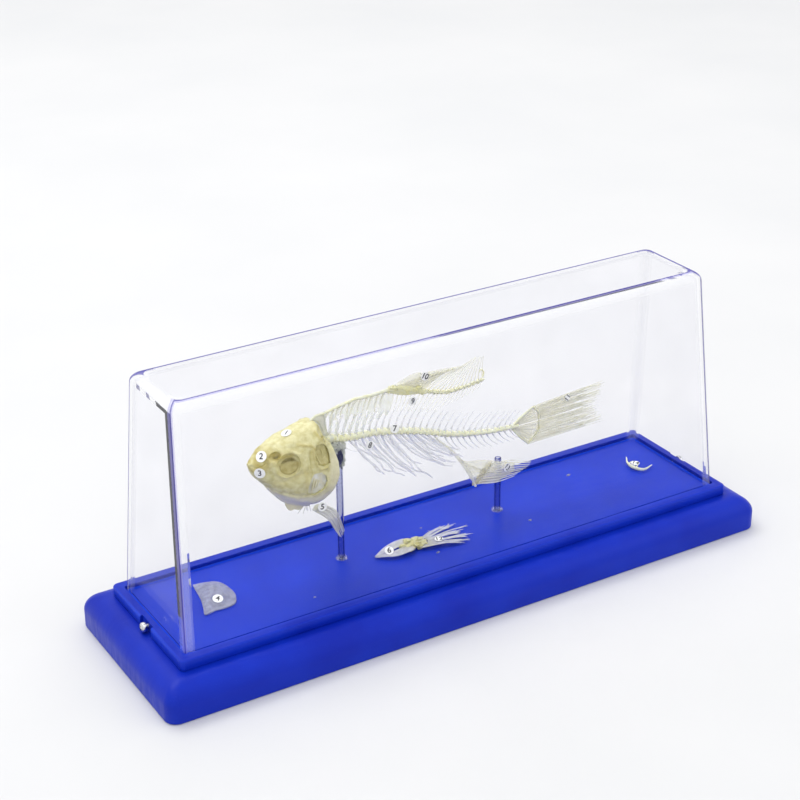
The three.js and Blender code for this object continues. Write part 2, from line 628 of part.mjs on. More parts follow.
// The left gill cover: a thin shallow dome with a ragged four-sided outline.
function looseGillCover() {
  const outline = [
    [-109.6, 17.2], [-103.4, 16.2], [-99.3, 13.8], [-97.6, 8.9], [-97.3, 2.5], [-98.5, -1.8], [-100.8, -5.3],
    [-105.4, -6.3], [-110.3, -6], [-115.2, -6.6], [-113.6, -1.5], [-111.6, 5.3],
  ];
  const { radius, thick, rise, spread, x, y } = GILL_COVER;
  const arc = (lift, turns) => turns.map((t) => (
    new THREE.Vector2(radius * Math.sin(t * spread), radius * (Math.cos(t * spread) - 1) + lift)));
  const turns = [0, 1 / 3, 2 / 3, 1];
  const dome = new THREE.LatheGeometry([...arc(rise, turns), ...arc(rise - thick, reversed(turns))], 12);
  dome.rotateX(Math.PI / 2);
  dome.translate(x, y, FLOOR + GAP + thick);
  const shape = new THREE.Shape(outline.map((point) => new THREE.Vector2(...point)));
  const block = new THREE.ExtrudeGeometry(shape, { depth: 8, bevelEnabled: false });
  block.translate(0, 0, FLOOR + GAP);
  return solid(dome).intersect(solid(block));
}

function pelvicBones() {
  const low = FLOOR + GAP;
  const wing = (side) => {
    const line = [[-32.4, -4.4, 0.2, 0.8], [-24, -4.8, 2.8, 1.6], [-15.5, -4.4, 3.2, 2.2]].map(
      ([x, y, out, up]) => v3(x, y + side * out, low + up));
    return bar(line, (t) => mix(1, 5.2, Math.sin(t * 2.2)), taper(0.9, 1.4), { steps: 3 });
  };
  return joined([wing(-1), wing(1), ball(v3(-15.8, -4.4, low + 2.2), [2.6, 4.6, 2.1], 8)]);
}

// The rays spread between two lines on the floor, each from a root to a tip.
function pelvicFin({ root, tip }) {
  const low = FLOOR + GAP;
  const knob = v3((root[0][0] + root[1][0]) / 2, (root[0][1] + root[1][1]) / 2, low + 1.5);
  const parts = [ball(knob, [2, 2.6, 1.4], 7)];
  for (let i = 0; i < PELVIC.rays; i += 1) {
    const u = i / (PELVIC.rays - 1);
    const from = v3(mix(root[0][0], root[1][0], u), mix(root[0][1], root[1][1], u), low + 1.4);
    const to = v3(mix(tip[0][0], tip[1][0], u * u), mix(tip[0][1], tip[1][1], u), low + 0.7);
    const bend = from.clone().lerp(to, 0.5).add(v3(0, 0, 0.8));
    parts.push(bar([from, bend, to], taper(1.8, 1), taper(0.8, 0.6), { sides: 3 }));
  }
  return joined(parts);
}

// A throat bone: a small sickle with a short prong and three teeth.
function throatBone() {
  const z = FLOOR + GAP + 0.9;
  const line = [[117.3, 12.6, 0], [114.2, 7.6, 0], [113.4, 2, 0.3], [116.6, -1.8, 0], [122.6, -0.2, 0]].map(
    ([x, y, up]) => v3(x, y, z + up));
  const swell = (least, more) => (t) => least + more * Math.sin(t * Math.PI);
  const sickle = bar(line, swell(0.8, 1.8), swell(0.7, 0.9), { steps: 6, side: v3(0, 0, 1) });
  const teeth = [0, 1, 2].map((i) => bar([v3(113.6, 5.6 - i * 1.9, z), v3(116.4, 6 - i * 1.6, z + 0.8)],
    taper(1.1, 0.6), taper(1.1, 0.6), { steps: 1, side: v3(0, 0, 1) }));
  return joined([sickle, ...teeth]);
}

// ---- model --------------------------------------------------------------------------------

const model = new THREE.Group();

function place(name, body, colour, { roughness = 0.6, metalness = 0 } = {}) {
  const material = new THREE.MeshStandardMaterial({ color: colour, roughness, metalness });
  const mesh = new THREE.Mesh(geometryOf(body), material);
  mesh.name = name;
  model.add(mesh);
}

place('base', tray(), COLOURS.tray, { roughness: 0.35 });
place('cover', cover(), COLOURS.cover, { roughness: 0.05 });
place('screw_left', screw(-1), COLOURS.chrome, { roughness: 0.15, metalness: 1 });
place('screw_right', screw(1), COLOURS.chrome, { roughness: 0.15, metalness: 1 });
place('rod_front', rod(ROD.frontX, spineLine(ROD.frontX) - SPINE.rim - GAP), COLOURS.rod, { roughness: 0.2 });
place('rod_rear', rod(ROD.rearX, ROD.rearTop), COLOURS.rod, { roughness: 0.2 });
for (const [name, body] of Object.entries(headBones())) place(name, body, COLOURS.skull);
place('pectoral_fin_left', pectoralFin(-1, PECTORAL.left), COLOURS.fin);
place('pectoral_fin_right', pectoralFin(1, PECTORAL.right), COLOURS.fin);
place('spine_trunk', trunkSpine(), COLOURS.spine);
place('ribs_left', ribCage(-1), COLOURS.rib);
place('ribs_right', ribCage(1), COLOURS.rib);
place('spine_tail', tailSpine(), COLOURS.spine);
place('nape', nape(), COLOURS.fin);
place('dorsal_fin', dorsalFin(), COLOURS.fin);
place('anal_fin', analFin(), COLOURS.fin);
place('tail_fin_upper', tailLobe(1), COLOURS.fin);
place('tail_fin_lower', tailLobe(-1), COLOURS.fin);
place('opercle_left', looseGillCover(), COLOURS.loose);
place('pelvic_bones', pelvicBones(), COLOURS.loose);
place('pelvic_fin_left', pelvicFin(PELVIC.left), COLOURS.loose);
place('pelvic_fin_right', pelvicFin(PELVIC.right), COLOURS.loose);
place('pharyngeal_bone', throatBone(), COLOURS.loose);

export default model;
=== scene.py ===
import math
import random

import bmesh
import bpy
from mathutils import Matrix, Vector, noise


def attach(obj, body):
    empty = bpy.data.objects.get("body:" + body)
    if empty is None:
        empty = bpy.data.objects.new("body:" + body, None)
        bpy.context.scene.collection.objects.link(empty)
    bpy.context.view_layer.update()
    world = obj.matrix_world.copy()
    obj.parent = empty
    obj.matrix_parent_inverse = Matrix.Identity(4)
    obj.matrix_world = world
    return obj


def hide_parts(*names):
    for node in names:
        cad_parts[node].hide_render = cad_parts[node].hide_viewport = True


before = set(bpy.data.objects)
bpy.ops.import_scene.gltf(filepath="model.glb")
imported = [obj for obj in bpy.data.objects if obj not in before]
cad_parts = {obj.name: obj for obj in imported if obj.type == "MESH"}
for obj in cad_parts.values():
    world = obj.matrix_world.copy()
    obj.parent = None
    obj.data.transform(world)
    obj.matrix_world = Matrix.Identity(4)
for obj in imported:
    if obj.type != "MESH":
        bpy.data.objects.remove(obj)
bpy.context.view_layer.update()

MM = 0.001
GAP = 0.3
TURN = 2 * math.pi

# ---- driving sizes, in millimetres ----------------------------------------------------------

BASE = {"length": 300, "depth": 91, "corner": 5.5, "side": 7.5, "shoulder": 16, "inset": 9.3, "heel": 0.8}
RIM = {"length": 278, "depth": 70, "top": 21, "round": 0.9, "corner": 2.2, "inner": 1.4}
FLOOR = 19.5
GROOVE = {"bottom": 19.2, "room": 0.35}
TAB = {"width": 13, "recess": 1.3, "below": 4.8}
COVER = {"length": 270, "depth": 60, "top_length": 260, "top_depth": 40, "top": 124, "wall": 2.2, "round": 4,
         "corner": 3}
SCREW = {"head": 4.4, "thick": 2.4, "shank": 2, "stand_off": 1.3, "z": 18.6, "bore": 2.6,
         "slot": (0.28, 1.3)}
ROD = {"radius": 1.5, "bore": 0.95, "foot": 2.6, "foot_height": 1.1, "front": -44.6, "rear": 36.8,
       "rear_top": 46.5}

MID = 4
HEAD = {"front": -87.2, "back": -47, "wall": 1.0, "reach": 20}
ORBIT = {"x": -73.7, "z": 77.4, "out": 9.8, "radii": (5.7, 3.3, 5.6)}
NOSTRIL = {"x": -77.9, "z": 81.2, "out": 6.1, "radii": (2.8, 1.9, 2.0)}
SPINE = {"start": -50.5, "trunk": 18, "tail": 13, "pitch": 3.16, "rim": 1.65, "waist": 1.2, "end": 1.15}
RIBS = {"first": 3, "count": 13, "arc": 1.2, "bulge": 9.5, "wild": 0.16, "strays": 7}
DORSAL = {"start": -20.5, "end": 28.5, "rays": 22}
ANAL = {"yaw": -0.077, "pivot": 8}
TAIL = {"root": 46.5, "middle": 59.6, "fork": 60, "rays": 17, "tufts": 3}
LOBES = {1: {"fan": 55.6, "edge": 67.4, "tip": 70.8}, -1: {"fan": 53.2, "edge": 48.8, "tip": 49.8}}
LABEL = {"radius": 1.95, "thick": 0.16, "clear": 0.05, "numeral": 3.6, "ink": 0.03, "bold": 0.06, "pixels": 4}

chance = random.Random(14)


# ---- lines and solids -----------------------------------------------------------------------

def mix(a, b, t):
    return a + (b - a) * t


def clamp(value, low=0.0, high=1.0):
    return min(max(value, low), high)


def smooth_line(points):
    """A smooth height over x through a few (x, height) points."""
    def slope(i):
        a, b = points[max(i - 1, 0)], points[min(i + 1, len(points) - 1)]
        return (b[1] - a[1]) / (b[0] - a[0])

    slopes = [slope(i) for i in range(len(points))]

    def height(x):
        i = 0
        while i < len(points) - 2 and x > points[i + 1][0]:
            i += 1
        span = points[i + 1][0] - points[i][0]
        t = clamp((x - points[i][0]) / span)
        t2, t3 = t * t, t * t * t
        return ((2 * t3 - 3 * t2 + 1) * points[i][1] + (t3 - 2 * t2 + t) * span * slopes[i]
                + (3 * t2 - 2 * t3) * points[i + 1][1] + (t3 - t2) * span * slopes[i + 1])
    return height


def loft(rings):
    """(vertices, faces) of a capped skin over closed rings of equal length."""
    size = len(rings[0])
    vertices = [Vector(p) for ring in rings for p in ring]
    faces = []
    for i in range(len(rings) - 1):
        for j in range(size):
            a, b = i * size + j, i * size + (j + 1) % size
            faces.append((a, b, b + size, a + size))
    last = (len(rings) - 1) * size
    faces.append(tuple(reversed(range(size))))
    faces.append(tuple(range(last, last + size)))
    return vertices, faces


def curve_points(points, steps):
    """Points and directions along a Catmull-Rom line through the given points."""
    points = [Vector(p) for p in points]
    ends = [2 * points[0] - points[1], *points, 2 * points[-1] - points[-2]]
    places, ways = [], []
    for k in range(steps + 1):
        at = k / steps * (len(points) - 1)
        i = min(int(at), len(points) - 2)
        t = at - i
        a, b, c, d = ends[i:i + 4]
        places.append(0.5 * (2 * b + (c - a) * t + (2 * a - 5 * b + 4 * c - d) * t * t
                             + (3 * b - a - 3 * c + d) * t ** 3))
        ways.append(((c - a) + 2 * (2 * a - 5 * b + 4 * c - d) * t
                     + 3 * (3 * b - a - 3 * c + d) * t * t).normalized())
    return places, ways


def tube(points, width, thick=None, side=(0, 1, 0), sides=8, steps=12):
    """A bar with oval sections along a smooth line: width lies along side, thick across it."""
    thick = thick or width
    places, ways = curve_points(points, steps)
    rings = []
    for k, (place, way) in enumerate(zip(places, ways)):
        t = k / steps
        across = (Vector(side) - way * way.dot(Vector(side))).normalized()
        over = way.cross(across)
        rings.append([place + across * (width(t) / 2 * math.cos(TURN * j / sides))
                      + over * (thick(t) / 2 * math.sin(TURN * j / sides)) for j in range(sides)])
    return loft(rings)


def taper(a, b):
    return lambda t: mix(a, b, t)


def swell(least, more):
    return lambda t: least + more * math.sin(t * math.pi)


def bowed(start, end, bow=(0, 0, 0)):
    """A line with its middle set off by bow."""
    return [start, start.lerp(end, 0.5) + Vector(bow), end]


def cloudy(low, more, scale):
    """A tint that drifts over a bone in patches."""
    return lambda v: clamp(low + more * noise.noise(v * scale))


def fading(most, axis, start, span):
    """A tint that rises from 0 at start to most, over a span against the axis."""
    return lambda v: most * clamp((start - v[axis]) / span)


def slab(outline, near, far):
    """A plate with an X-Z outline between two Y values."""
    return loft([[(x, y, z) for x, z in outline] for y in (near, far)])


def block(xs, ys, zs):
    return slab([(xs[0], zs[0]), (xs[1], zs[0]), (xs[1], zs[1]), (xs[0], zs[1])], *ys)


def ball(centre, radii, sides=24, bumps=0.0):
    """An egg-shaped ball, with lumps of the given height."""
    rings = []
    rows = sides // 2
    for i in range(1, rows):
        fall = math.pi * i / rows
        ring = []
        for j in range(sides):
            turn = TURN * j / sides
            way = Vector((math.sin(fall) * math.cos(turn), math.sin(fall) * math.sin(turn), math.cos(fall)))
            grow = 1 + bumps * noise.noise(way * 1.7 + Vector(centre))
            ring.append(Vector(centre) + Vector([way[k] * radii[k] * grow for k in range(3)]))
        rings.append(ring)
    return loft(rings)


def lathe(profile, centre, sides=40, along="Z"):
    """A turned solid: profile gives (radius, height) pairs along the named axis."""
    rings = []
    for radius, height in profile:
        ring = []
        for j in range(sides):
            u, v = radius * math.cos(TURN * j / sides), radius * math.sin(TURN * j / sides)
            offset = Vector((u, v, height)) if along == "Z" else Vector((height, u, v))
            ring.append(Vector(centre) + offset)
        rings.append(ring)
    return loft(rings)


class Build:
    """Collects parts of one piece, with a material number and an ochre tint for each part."""

    def __init__(self):
        self.vertices, self.faces, self.slots, self.tints = [], [], [], []

    def add(self, part, slot=0, tint=0.0):
        vertices, faces = part
        start = len(self.vertices)
        self.vertices += [Vector(v) for v in vertices]
        self.faces += [tuple(start + k for k in face) for face in faces]
        self.slots += [slot] * len(faces)
        self.tints += [tint(v) if callable(tint) else tint for v in vertices]
        return self

    def mesh(self):
        mesh = bpy.data.meshes.new("part")
        mesh.from_pydata([tuple(v) for v in self.vertices], [], self.faces)
        mesh.polygons.foreach_set("material_index", self.slots)
        mesh.attributes.new("tint", "FLOAT", "POINT").data.foreach_set("value", self.tints)
        outward(mesh)
        return mesh


def outward(mesh):
    bm = bmesh.new()
    bm.from_mesh(mesh)
    bmesh.ops.recalc_face_normals(bm, faces=bm.faces)
    bm.to_mesh(mesh)
    bm.free()


def mesh_of(part):
    return Build().add(part).mesh()


def cut(body, cutter, kind="DIFFERENCE"):
    """body after a DIFFERENCE, UNION or INTERSECT with cutter, both meshes in millimetres."""
    pair = [bpy.data.objects.new("work", mesh) for mesh in (body, cutter)]
    for item in pair:
        bpy.context.collection.objects.link(item)
    step = pair[0].modifiers.new("cut", "BOOLEAN")
    step.operation, step.object, step.solver = kind, pair[1], "EXACT"
    graph = bpy.context.evaluated_depsgraph_get()
    result = bpy.data.meshes.new_from_object(pair[0].evaluated_get(graph))
    for item in pair:
        bpy.data.objects.remove(item)
    return result


def piece(name, mesh, materials, nodes=(), angle=38):
    """A finished piece in metres, which rides on the body and stands for the given CAD nodes."""
    mesh.transform(Matrix.Scale(MM, 4))
    mesh.name = name
    numbers = [min(face.material_index, len(materials) - 1) for face in mesh.polygons]
    mesh.materials.clear()
    for item in materials:
        mesh.materials.append(item)
    mesh.polygons.foreach_set("material_index", numbers)
    mesh.polygons.foreach_set("use_smooth", [True] * len(mesh.polygons))
    mesh.set_sharp_from_angle(angle=math.radians(angle))
    thing = bpy.data.objects.new(name, mesh)
    bpy.context.collection.objects.link(thing)
    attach(thing, "root")
    if nodes:
        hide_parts(*nodes)
    return thing


# ---- materials ------------------------------------------------------------------------------

def node_material(name, **constants):
    """A material with one Principled shader, whose constants are set on its own sockets."""
    material = bpy.data.materials.new(name)
    material.use_nodes = True
    shader = material.node_tree.nodes["Principled BSDF"]
    for key, value in constants.items():
        shader.inputs[key.replace("_", " ")].default_value = value
    return material, material.node_tree, shader


def add_noise(tree, scale, detail=4.0, stretch=None):
    """A noise in object space; scale is in cycles to the metre."""
    where = tree.nodes.new("ShaderNodeTexCoord")
    source = where.outputs["Object"]
    if stretch:
        mapping = tree.nodes.new("ShaderNodeMapping")
        mapping.inputs["Scale"].default_value = stretch
        tree.links.new(source, mapping.inputs["Vector"])
        source = mapping.outputs["Vector"]
    texture = tree.nodes.new("ShaderNodeTexNoise")
    texture.inputs["Scale"].default_value = scale
    texture.inputs["Detail"].default_value = detail
    tree.links.new(source, texture.inputs["Vector"])
    return texture.outputs[0]


def add_ramp(tree, value, stops):
    """A colour ramp over value; stops are (place, colour) pairs."""
    ramp = tree.nodes.new("ShaderNodeValToRGB")
    elements = ramp.color_ramp.elements
    while len(elements) < len(stops):
        elements.new(0.5)
    for element, (place, colour) in zip(elements, stops):
        element.position = place
        element.color = (*colour, 1) if len(colour) == 3 else colour
    tree.links.new(value, ramp.inputs["Fac"])
    return ramp.outputs["Color"]


def add_mix(tree, factor, a, b):
    """Colours a and b (sockets or plain colours) mixed by a socket or a number."""
    node = tree.nodes.new("ShaderNodeMix")
    node.data_type = "RGBA"
    for index, value in ((0, factor), (6, a), (7, b)):
        if isinstance(value, bpy.types.NodeSocket):
            tree.links.new(value, node.inputs[index])
        else:
            node.inputs[index].default_value = value if index == 0 else (*value, 1)
    return node.outputs[2]


def add_range(tree, value, low, high, to_low, to_high):
    node = tree.nodes.new("ShaderNodeMapRange")
    for key, number in (("From Min", low), ("From Max", high), ("To Min", to_low), ("To Max", to_high)):
        node.inputs[key].default_value = number
    tree.links.new(value, node.inputs["Value"])
    return node.outputs["Result"]


def add_bump(tree, shader, height, strength, distance):
    bump = tree.nodes.new("ShaderNodeBump")
    bump.inputs["Strength"].default_value = strength
    bump.inputs["Distance"].default_value = distance
    tree.links.new(height, bump.inputs["Height"])
    tree.links.new(bump.outputs["Normal"], shader.inputs["Normal"])


def add_tint(tree):
    node = tree.nodes.new("ShaderNodeAttribute")
    node.attribute_name = "tint"
    return node.outputs["Fac"]


def cloud_colour(tree, shader, scale, detail, low, high):
    """A base colour that drifts between two (place, colour) stops."""
    tree.links.new(add_ramp(tree, add_noise(tree, scale, detail), [low, high]), shader.inputs["Base Color"])


def bone_material(name, pale, deep, ochre, grey_and_shade=(0.5, 0.5, 0.51), alpha=1.0, glow=0.2, rough=(0.32, 0.55),
                  grain=420, pits=0.25):
    """Dry waxy bone: cloudy colour, an ochre stain where the tint is above 0, and fine pits.
    Below 0 it turns grey: on the head's underside that grey is painted shade.
    """
    material, tree, shader = node_material(
        name, Alpha=alpha, Subsurface_Weight=glow, Subsurface_Scale=0.0022, IOR=1.5, Specular_IOR_Level=0.35)
    shader.inputs["Subsurface Radius"].default_value = (1.0, 0.85, 0.5)
    clouds = add_noise(tree, grain, 5)
    colour = add_ramp(tree, clouds, [(0.34, deep), (0.62, pale)])
    stain = add_range(tree, add_noise(tree, 260, 3), 0.3, 0.7, 0.55, 1.25)
    amount = tree.nodes.new("ShaderNodeMath")
    amount.operation, amount.use_clamp = "MULTIPLY", True
    tint = add_tint(tree)
    tree.links.new(tint, amount.inputs[0])
    tree.links.new(stain, amount.inputs[1])
    colour = add_mix(tree, amount.outputs[0], colour, ochre)
    # Grey below 0: on the head's underside this is painted shade.
    colour = add_mix(tree, add_range(tree, tint, 0, -1, 0, 1), colour, grey_and_shade)
    specks = add_range(tree, add_noise(tree, 1900, 3), 0.56, 0.72, 0.0, 0.16)
    colour = add_mix(tree, specks, colour, [c * 0.55 for c in ochre])
    tree.links.new(colour, shader.inputs["Base Color"])
    tree.links.new(add_range(tree, clouds, 0.3, 0.7, rough[1], rough[0]), shader.inputs["Roughness"])
    add_bump(tree, shader, add_noise(tree, 1500, 6), pits, 0.0003)
    return material


def tray_material():
    """Moulded blue plastic: faint flow clouds, fine texture and a paler blue along convex edges."""
    material, tree, shader = node_material("tray_plastic", IOR=1.5, Specular_IOR_Level=0.15)
    clouds = add_noise(tree, 40, 4)
    colour = add_ramp(tree, clouds, [(0.3, (0.0022, 0.016, 0.36)), (0.7, (0.0035, 0.026, 0.45))])
    dust = add_range(tree, add_noise(tree, 2400, 2), 0.66, 0.78, 0.0, 0.35)
    colour = add_mix(tree, dust, colour, (0.05, 0.09, 0.66))
    # Paler blue along convex edges, by pointiness.
    edge = tree.nodes.new("ShaderNodeNewGeometry").outputs["Pointiness"]
    convex_paler = add_range(tree, edge, 0.52, 0.6, 0.0, 0.5)
    colour = add_mix(tree, convex_paler, colour, (0.02, 0.08, 0.75))
    tree.links.new(colour, shader.inputs["Base Color"])
    scuffs = add_noise(tree, 90, 8, (1, 6, 1))
    tree.links.new(add_range(tree, scuffs, 0.35, 0.65, 0.3, 0.44), shader.inputs["Roughness"])
    add_bump(tree, shader, add_noise(tree, 1800, 3), 0.12, 0.0002)
    return material


def clear_material(name, tint, ior, rough=0.0, wave=0.05, body=0.0, alpha=1.0, absorb=None):
    """Clear plastic that lets lamps through; body is its milky share, absorb a colour and a density."""
    material = bpy.data.materials.new(name)
    material.use_nodes = True
    tree = material.node_tree
    tree.nodes.clear()
    output = tree.nodes.new("ShaderNodeOutputMaterial")
    shader = tree.nodes.new("ShaderNodeBsdfPrincipled")
    for key, value in {"Transmission Weight": 1.0 - body, "IOR": ior, "Alpha": alpha}.items():
        shader.inputs[key].default_value = value
    cloud_colour(tree, shader, 55, 3, (0.3, [c * 0.97 for c in tint]), (0.7, tint))
    tree.links.new(add_range(tree, add_noise(tree, 300, 3), 0.35, 0.7, rough, rough + 0.03),
                   shader.inputs["Roughness"])
    add_bump(tree, shader, add_noise(tree, 30, 2), wave, 0.0004)
    clear = tree.nodes.new("ShaderNodeBsdfTransparent")
    clear.inputs["Color"].default_value = (0.96, 0.965, 0.985, 1)
    path = tree.nodes.new("ShaderNodeLightPath")
    blend = tree.nodes.new("ShaderNodeMixShader")
    tree.links.new(path.outputs["Is Shadow Ray"], blend.inputs[0])
    tree.links.new(shader.outputs[0], blend.inputs[1])
    tree.links.new(clear.outputs[0], blend.inputs[2])
    tree.links.new(blend.outputs[0], output.inputs["Surface"])
    if absorb:
        volume = tree.nodes.new("ShaderNodeVolumeAbsorption")
        volume.inputs["Color"].default_value = (*absorb[0], 1)
        volume.inputs["Density"].default_value = absorb[1]
        tree.links.new(volume.outputs[0], output.inputs["Volume"])
    return material


def metal_material():
    material, tree, shader = node_material("screw_chrome", Metallic=1.0)
    cloud_colour(tree, shader, 900, 3, (0.35, (0.5, 0.5, 0.52)), (0.65, (0.78, 0.78, 0.8)))
    tree.links.new(add_range(tree, add_noise(tree, 1400, 4), 0.3, 0.7, 0.1, 0.26), shader.inputs["Roughness"])
    return material


def plain_material(name, rough, scale, detail, low, high):
    material, tree, shader = node_material(name, Roughness=rough, IOR=1.45)
    cloud_colour(tree, shader, scale, detail, low, high)
    return material


SKULL = bone_material("skull_bone", (0.72, 0.68, 0.37), (0.58, 0.53, 0.24), (0.5, 0.41, 0.12),
                      (0.8, 0.76, 0.58), glow=0.13, pits=0.4)
CREST = bone_material("crest_bone", (0.9, 0.91, 0.8), (0.78, 0.79, 0.66), (0.72, 0.64, 0.26),
                      alpha=0.72, pits=0.4)
CHAMBER = bone_material("chamber_tissue", (0.62, 0.57, 0.28), (0.42, 0.37, 0.14), (0.4, 0.32, 0.09),
                        glow=0.1, rough=(0.08, 0.25), pits=0.5)
MEMBRANE = bone_material("membrane", (0.84, 0.84, 0.76), (0.66, 0.66, 0.54), (0.64, 0.58, 0.32),
                         glow=0.1, rough=(0.05, 0.2), pits=0.6)
VERTEBRA = bone_material("spine_bone", (0.94, 0.94, 0.72), (0.84, 0.83, 0.56), (1.0, 0.94, 0.42),
                         glow=0.28, alpha=0.9)
RAY = bone_material("ray_bone", (0.97, 0.96, 0.82), (0.88, 0.87, 0.7), (0.8, 0.7, 0.3), alpha=0.52)
WEB = bone_material("fin_web", (0.97, 0.96, 0.76), (0.88, 0.87, 0.64), (0.8, 0.7, 0.3),
                    alpha=0.28, rough=(0.2, 0.4))
RIB = bone_material("rib_bone", (0.9, 0.9, 0.91), (0.76, 0.77, 0.78), (0.72, 0.66, 0.34),
                    alpha=0.5, rough=(0.2, 0.4))
SHEET = bone_material("nape_sheet", (0.94, 0.96, 0.84), (0.84, 0.87, 0.7), (0.76, 0.68, 0.3), alpha=0.3,
                      rough=(0.25, 0.45))
LOOSE = bone_material("loose_bone", (0.58, 0.59, 0.63), (0.38, 0.39, 0.44), (0.64, 0.6, 0.24), alpha=0.4)
HIP = bone_material("hip_bone", (0.76, 0.76, 0.79), (0.58, 0.58, 0.62), (0.62, 0.58, 0.24), alpha=0.62)
KNOT = bone_material("hip_knot", (0.74, 0.74, 0.5), (0.58, 0.58, 0.36), (0.6, 0.54, 0.2), alpha=0.85)
TRAY = tray_material()
CLEAR = clear_material("cover_plastic", (0.985, 0.985, 1.0), 1.09)
# Painted edge look of the cover: a pale highlight band, violet and navy reflection lines, and the foot in
# opaque tray blue.
EDGE_PAINTED_HIGHLIGHT = clear_material("cover_edge_painted_highlight", (0.97, 0.97, 1.0), 1.09, 0.05, 0.05, 0.7, 0.16)
EDGE_PAINTED_VIOLET = clear_material("cover_edge_painted_violet_reflection", (0.42, 0.4, 0.78), 1.09, 0.05, 0.05, 0.85, 0.5)
EDGE_PAINTED_NAVY = clear_material("cover_edge_painted_dark_reflection", (0.09, 0.08, 0.36), 1.09, 0.1, 0.05, 0.95, 0.8)
EDGE_PAINTED_FOOT_BLUE = clear_material("cover_foot_painted_blue", (0.011, 0.05, 0.6), 1.09, 0.1, 0.05, 1.0, 1.0)
ROD_CLEAR = clear_material("rod_plastic", (0.92, 0.93, 0.98), 1.16, 0.02, 0.05,
                           absorb=((0.36, 0.38, 0.6), 800))
GLUE = clear_material("glue", (0.8, 0.82, 0.72), 1.3, 0.08, 0.6, 0.6, 0.9)
# A pocket in the glue, painted dark blue for the dark that clear glue shows by refraction.
GLUE_POCKET_PAINTED_DARK = clear_material("glue_pocket_painted_dark", (0.04, 0.05, 0.2), 1.45, 0.02, 0.4, 0.35)
BEAD = clear_material("glue_bead", (0.75, 0.78, 0.95), 1.3, 0.05, 0.3, 0.1, 0.5)
CHROME = metal_material()
PAPER = plain_material("label_paper", 0.7, 1600, 3, (0.3, (0.84, 0.84, 0.8)), (0.6, (0.93, 0.93, 0.9)))
INK = plain_material("label_ink", 0.5, 2500, 2, (0.3, (0.012, 0.012, 0.016)), (0.7, (0.05, 0.05, 0.06)))
FLOOR_PAINT = plain_material("floor_paint", 0.5, 6, 4, (0.3, (0.68, 0.68, 0.68)), (0.7, (0.715, 0.71, 0.705)))


# ---- tray, cover, screws and rods -----------------------------------------------------------

def rounded_ring(length, depth, corner, z, steps=8):
    half_x, half_y = length / 2 - corner, depth / 2 - corner
    points = []
    for quarter, (sx, sy) in enumerate(((1, 1), (-1, 1), (-1, -1), (1, -1))):
        for i in range(steps + 1):
            angle = (quarter + i / steps) * math.pi / 2
            points.append((sx * half_x + corner * math.cos(angle), sy * half_y + corner * math.sin(angle), z))
    return points


def tray():
    def at(inset, z, corner):
        return rounded_ring(BASE["length"] - 2 * inset, BASE["depth"] - 2 * inset, corner, z)

    def rim(inset, z):
        return rounded_ring(RIM["length"] - 2 * inset, RIM["depth"] - 2 * inset, RIM["corner"], z)

    def well(reach, low, high):
        length, depth = COVER["length"] + 2 * reach, COVER["depth"] + 2 * reach
        return mesh_of(loft([rounded_ring(length, depth, RIM["inner"], z) for z in (low, high)]))

    heel = BASE["heel"]
    rings = [at(heel, 0, BASE["corner"] - heel)]
    rings += [at(heel * (1 - math.sin(a)), heel * (1 - math.cos(a)), BASE["corner"])
              for a in (0.5, 1.05, math.pi / 2)]
    rings.append(at(0, BASE["side"], BASE["corner"]))
    steps = 14
    for i in range(1, steps + 1):
        angle = i / steps * math.pi / 2
        rings.append(at(BASE["inset"] * (1 - math.cos(angle)),
                        BASE["side"] + (BASE["shoulder"] - BASE["side"]) * math.sin(angle),
                        mix(BASE["corner"], RIM["corner"], i / steps)))
    top, edge = RIM["top"], RIM["round"]
    rings += [rim(0.35, BASE["shoulder"] + 0.1), rim(0, BASE["shoulder"] + 0.6), rim(0, top - edge)]
    rings += [rim(edge * (1 - math.cos(a)), top - edge * (1 - math.sin(a)))
              for a in (0.4, 0.8, 1.2, math.pi / 2)]
    body = cut(mesh_of(loft(rings)), well(GROOVE["room"], FLOOR, top + 1))
    island = well(-COVER["wall"] - GAP, GROOVE["bottom"] - 2, FLOOR + 2)
    return notch_ends(cut(body, cut(well(GROOVE["room"], GROOVE["bottom"], FLOOR + 0.5), island)))


def notch_ends(body):
    """The middle of each end of the rim is set back, and a bore there takes the screw."""
    half = TAB["width"] / 2
    outer = RIM["length"] / 2
    for end in (-1, 1):
        recess = block(sorted((end * (outer - TAB["recess"]), end * (outer + 4))), (-half + 1, half - 1),
                       (RIM["top"] - TAB["below"], RIM["top"] + 1))
        radius = SCREW["bore"] / 2
        bore = lathe([(radius, -6), (radius, 6)], (end * outer, 0, SCREW["z"]), 24, "X")
        body = cut(cut(body, mesh_of(recess)), mesh_of(bore))
    return body


# The cover's edges. Its corners and rounded top are cut into steps, and each step is a face with its own
# material: dark navy and violet steps are painted reflection lines and pale ones a painted highlight band,
# as clear plastic shows at its edges. top: how many of the highest steps are painted dark, and how many below
# them painted violet, on the right, rear, left and front. uprights: for the rear right, rear left, front left
# and front right corner, the materials round the middle step.
WALL, PAINTED_HIGHLIGHT, PAINTED_VIOLET, PAINTED_NAVY, PAINTED_FOOT_BLUE = range(5)
EDGE = {"strip": 1.5, "steps": 8, "line": 4, "top": [(6, 1), (5, 1), (0, 0), (1, 1)],
        "uprights": [{}, {1: PAINTED_NAVY, 2: PAINTED_NAVY, 3: PAINTED_NAVY, 4: PAINTED_NAVY}, {-2: PAINTED_VIOLET, -1: PAINTED_VIOLET, 0: PAINTED_NAVY, 1: PAINTED_VIOLET},
                     {0: PAINTED_NAVY, 1: PAINTED_NAVY, 2: PAINTED_NAVY, 3: PAINTED_NAVY, 4: PAINTED_NAVY}]}


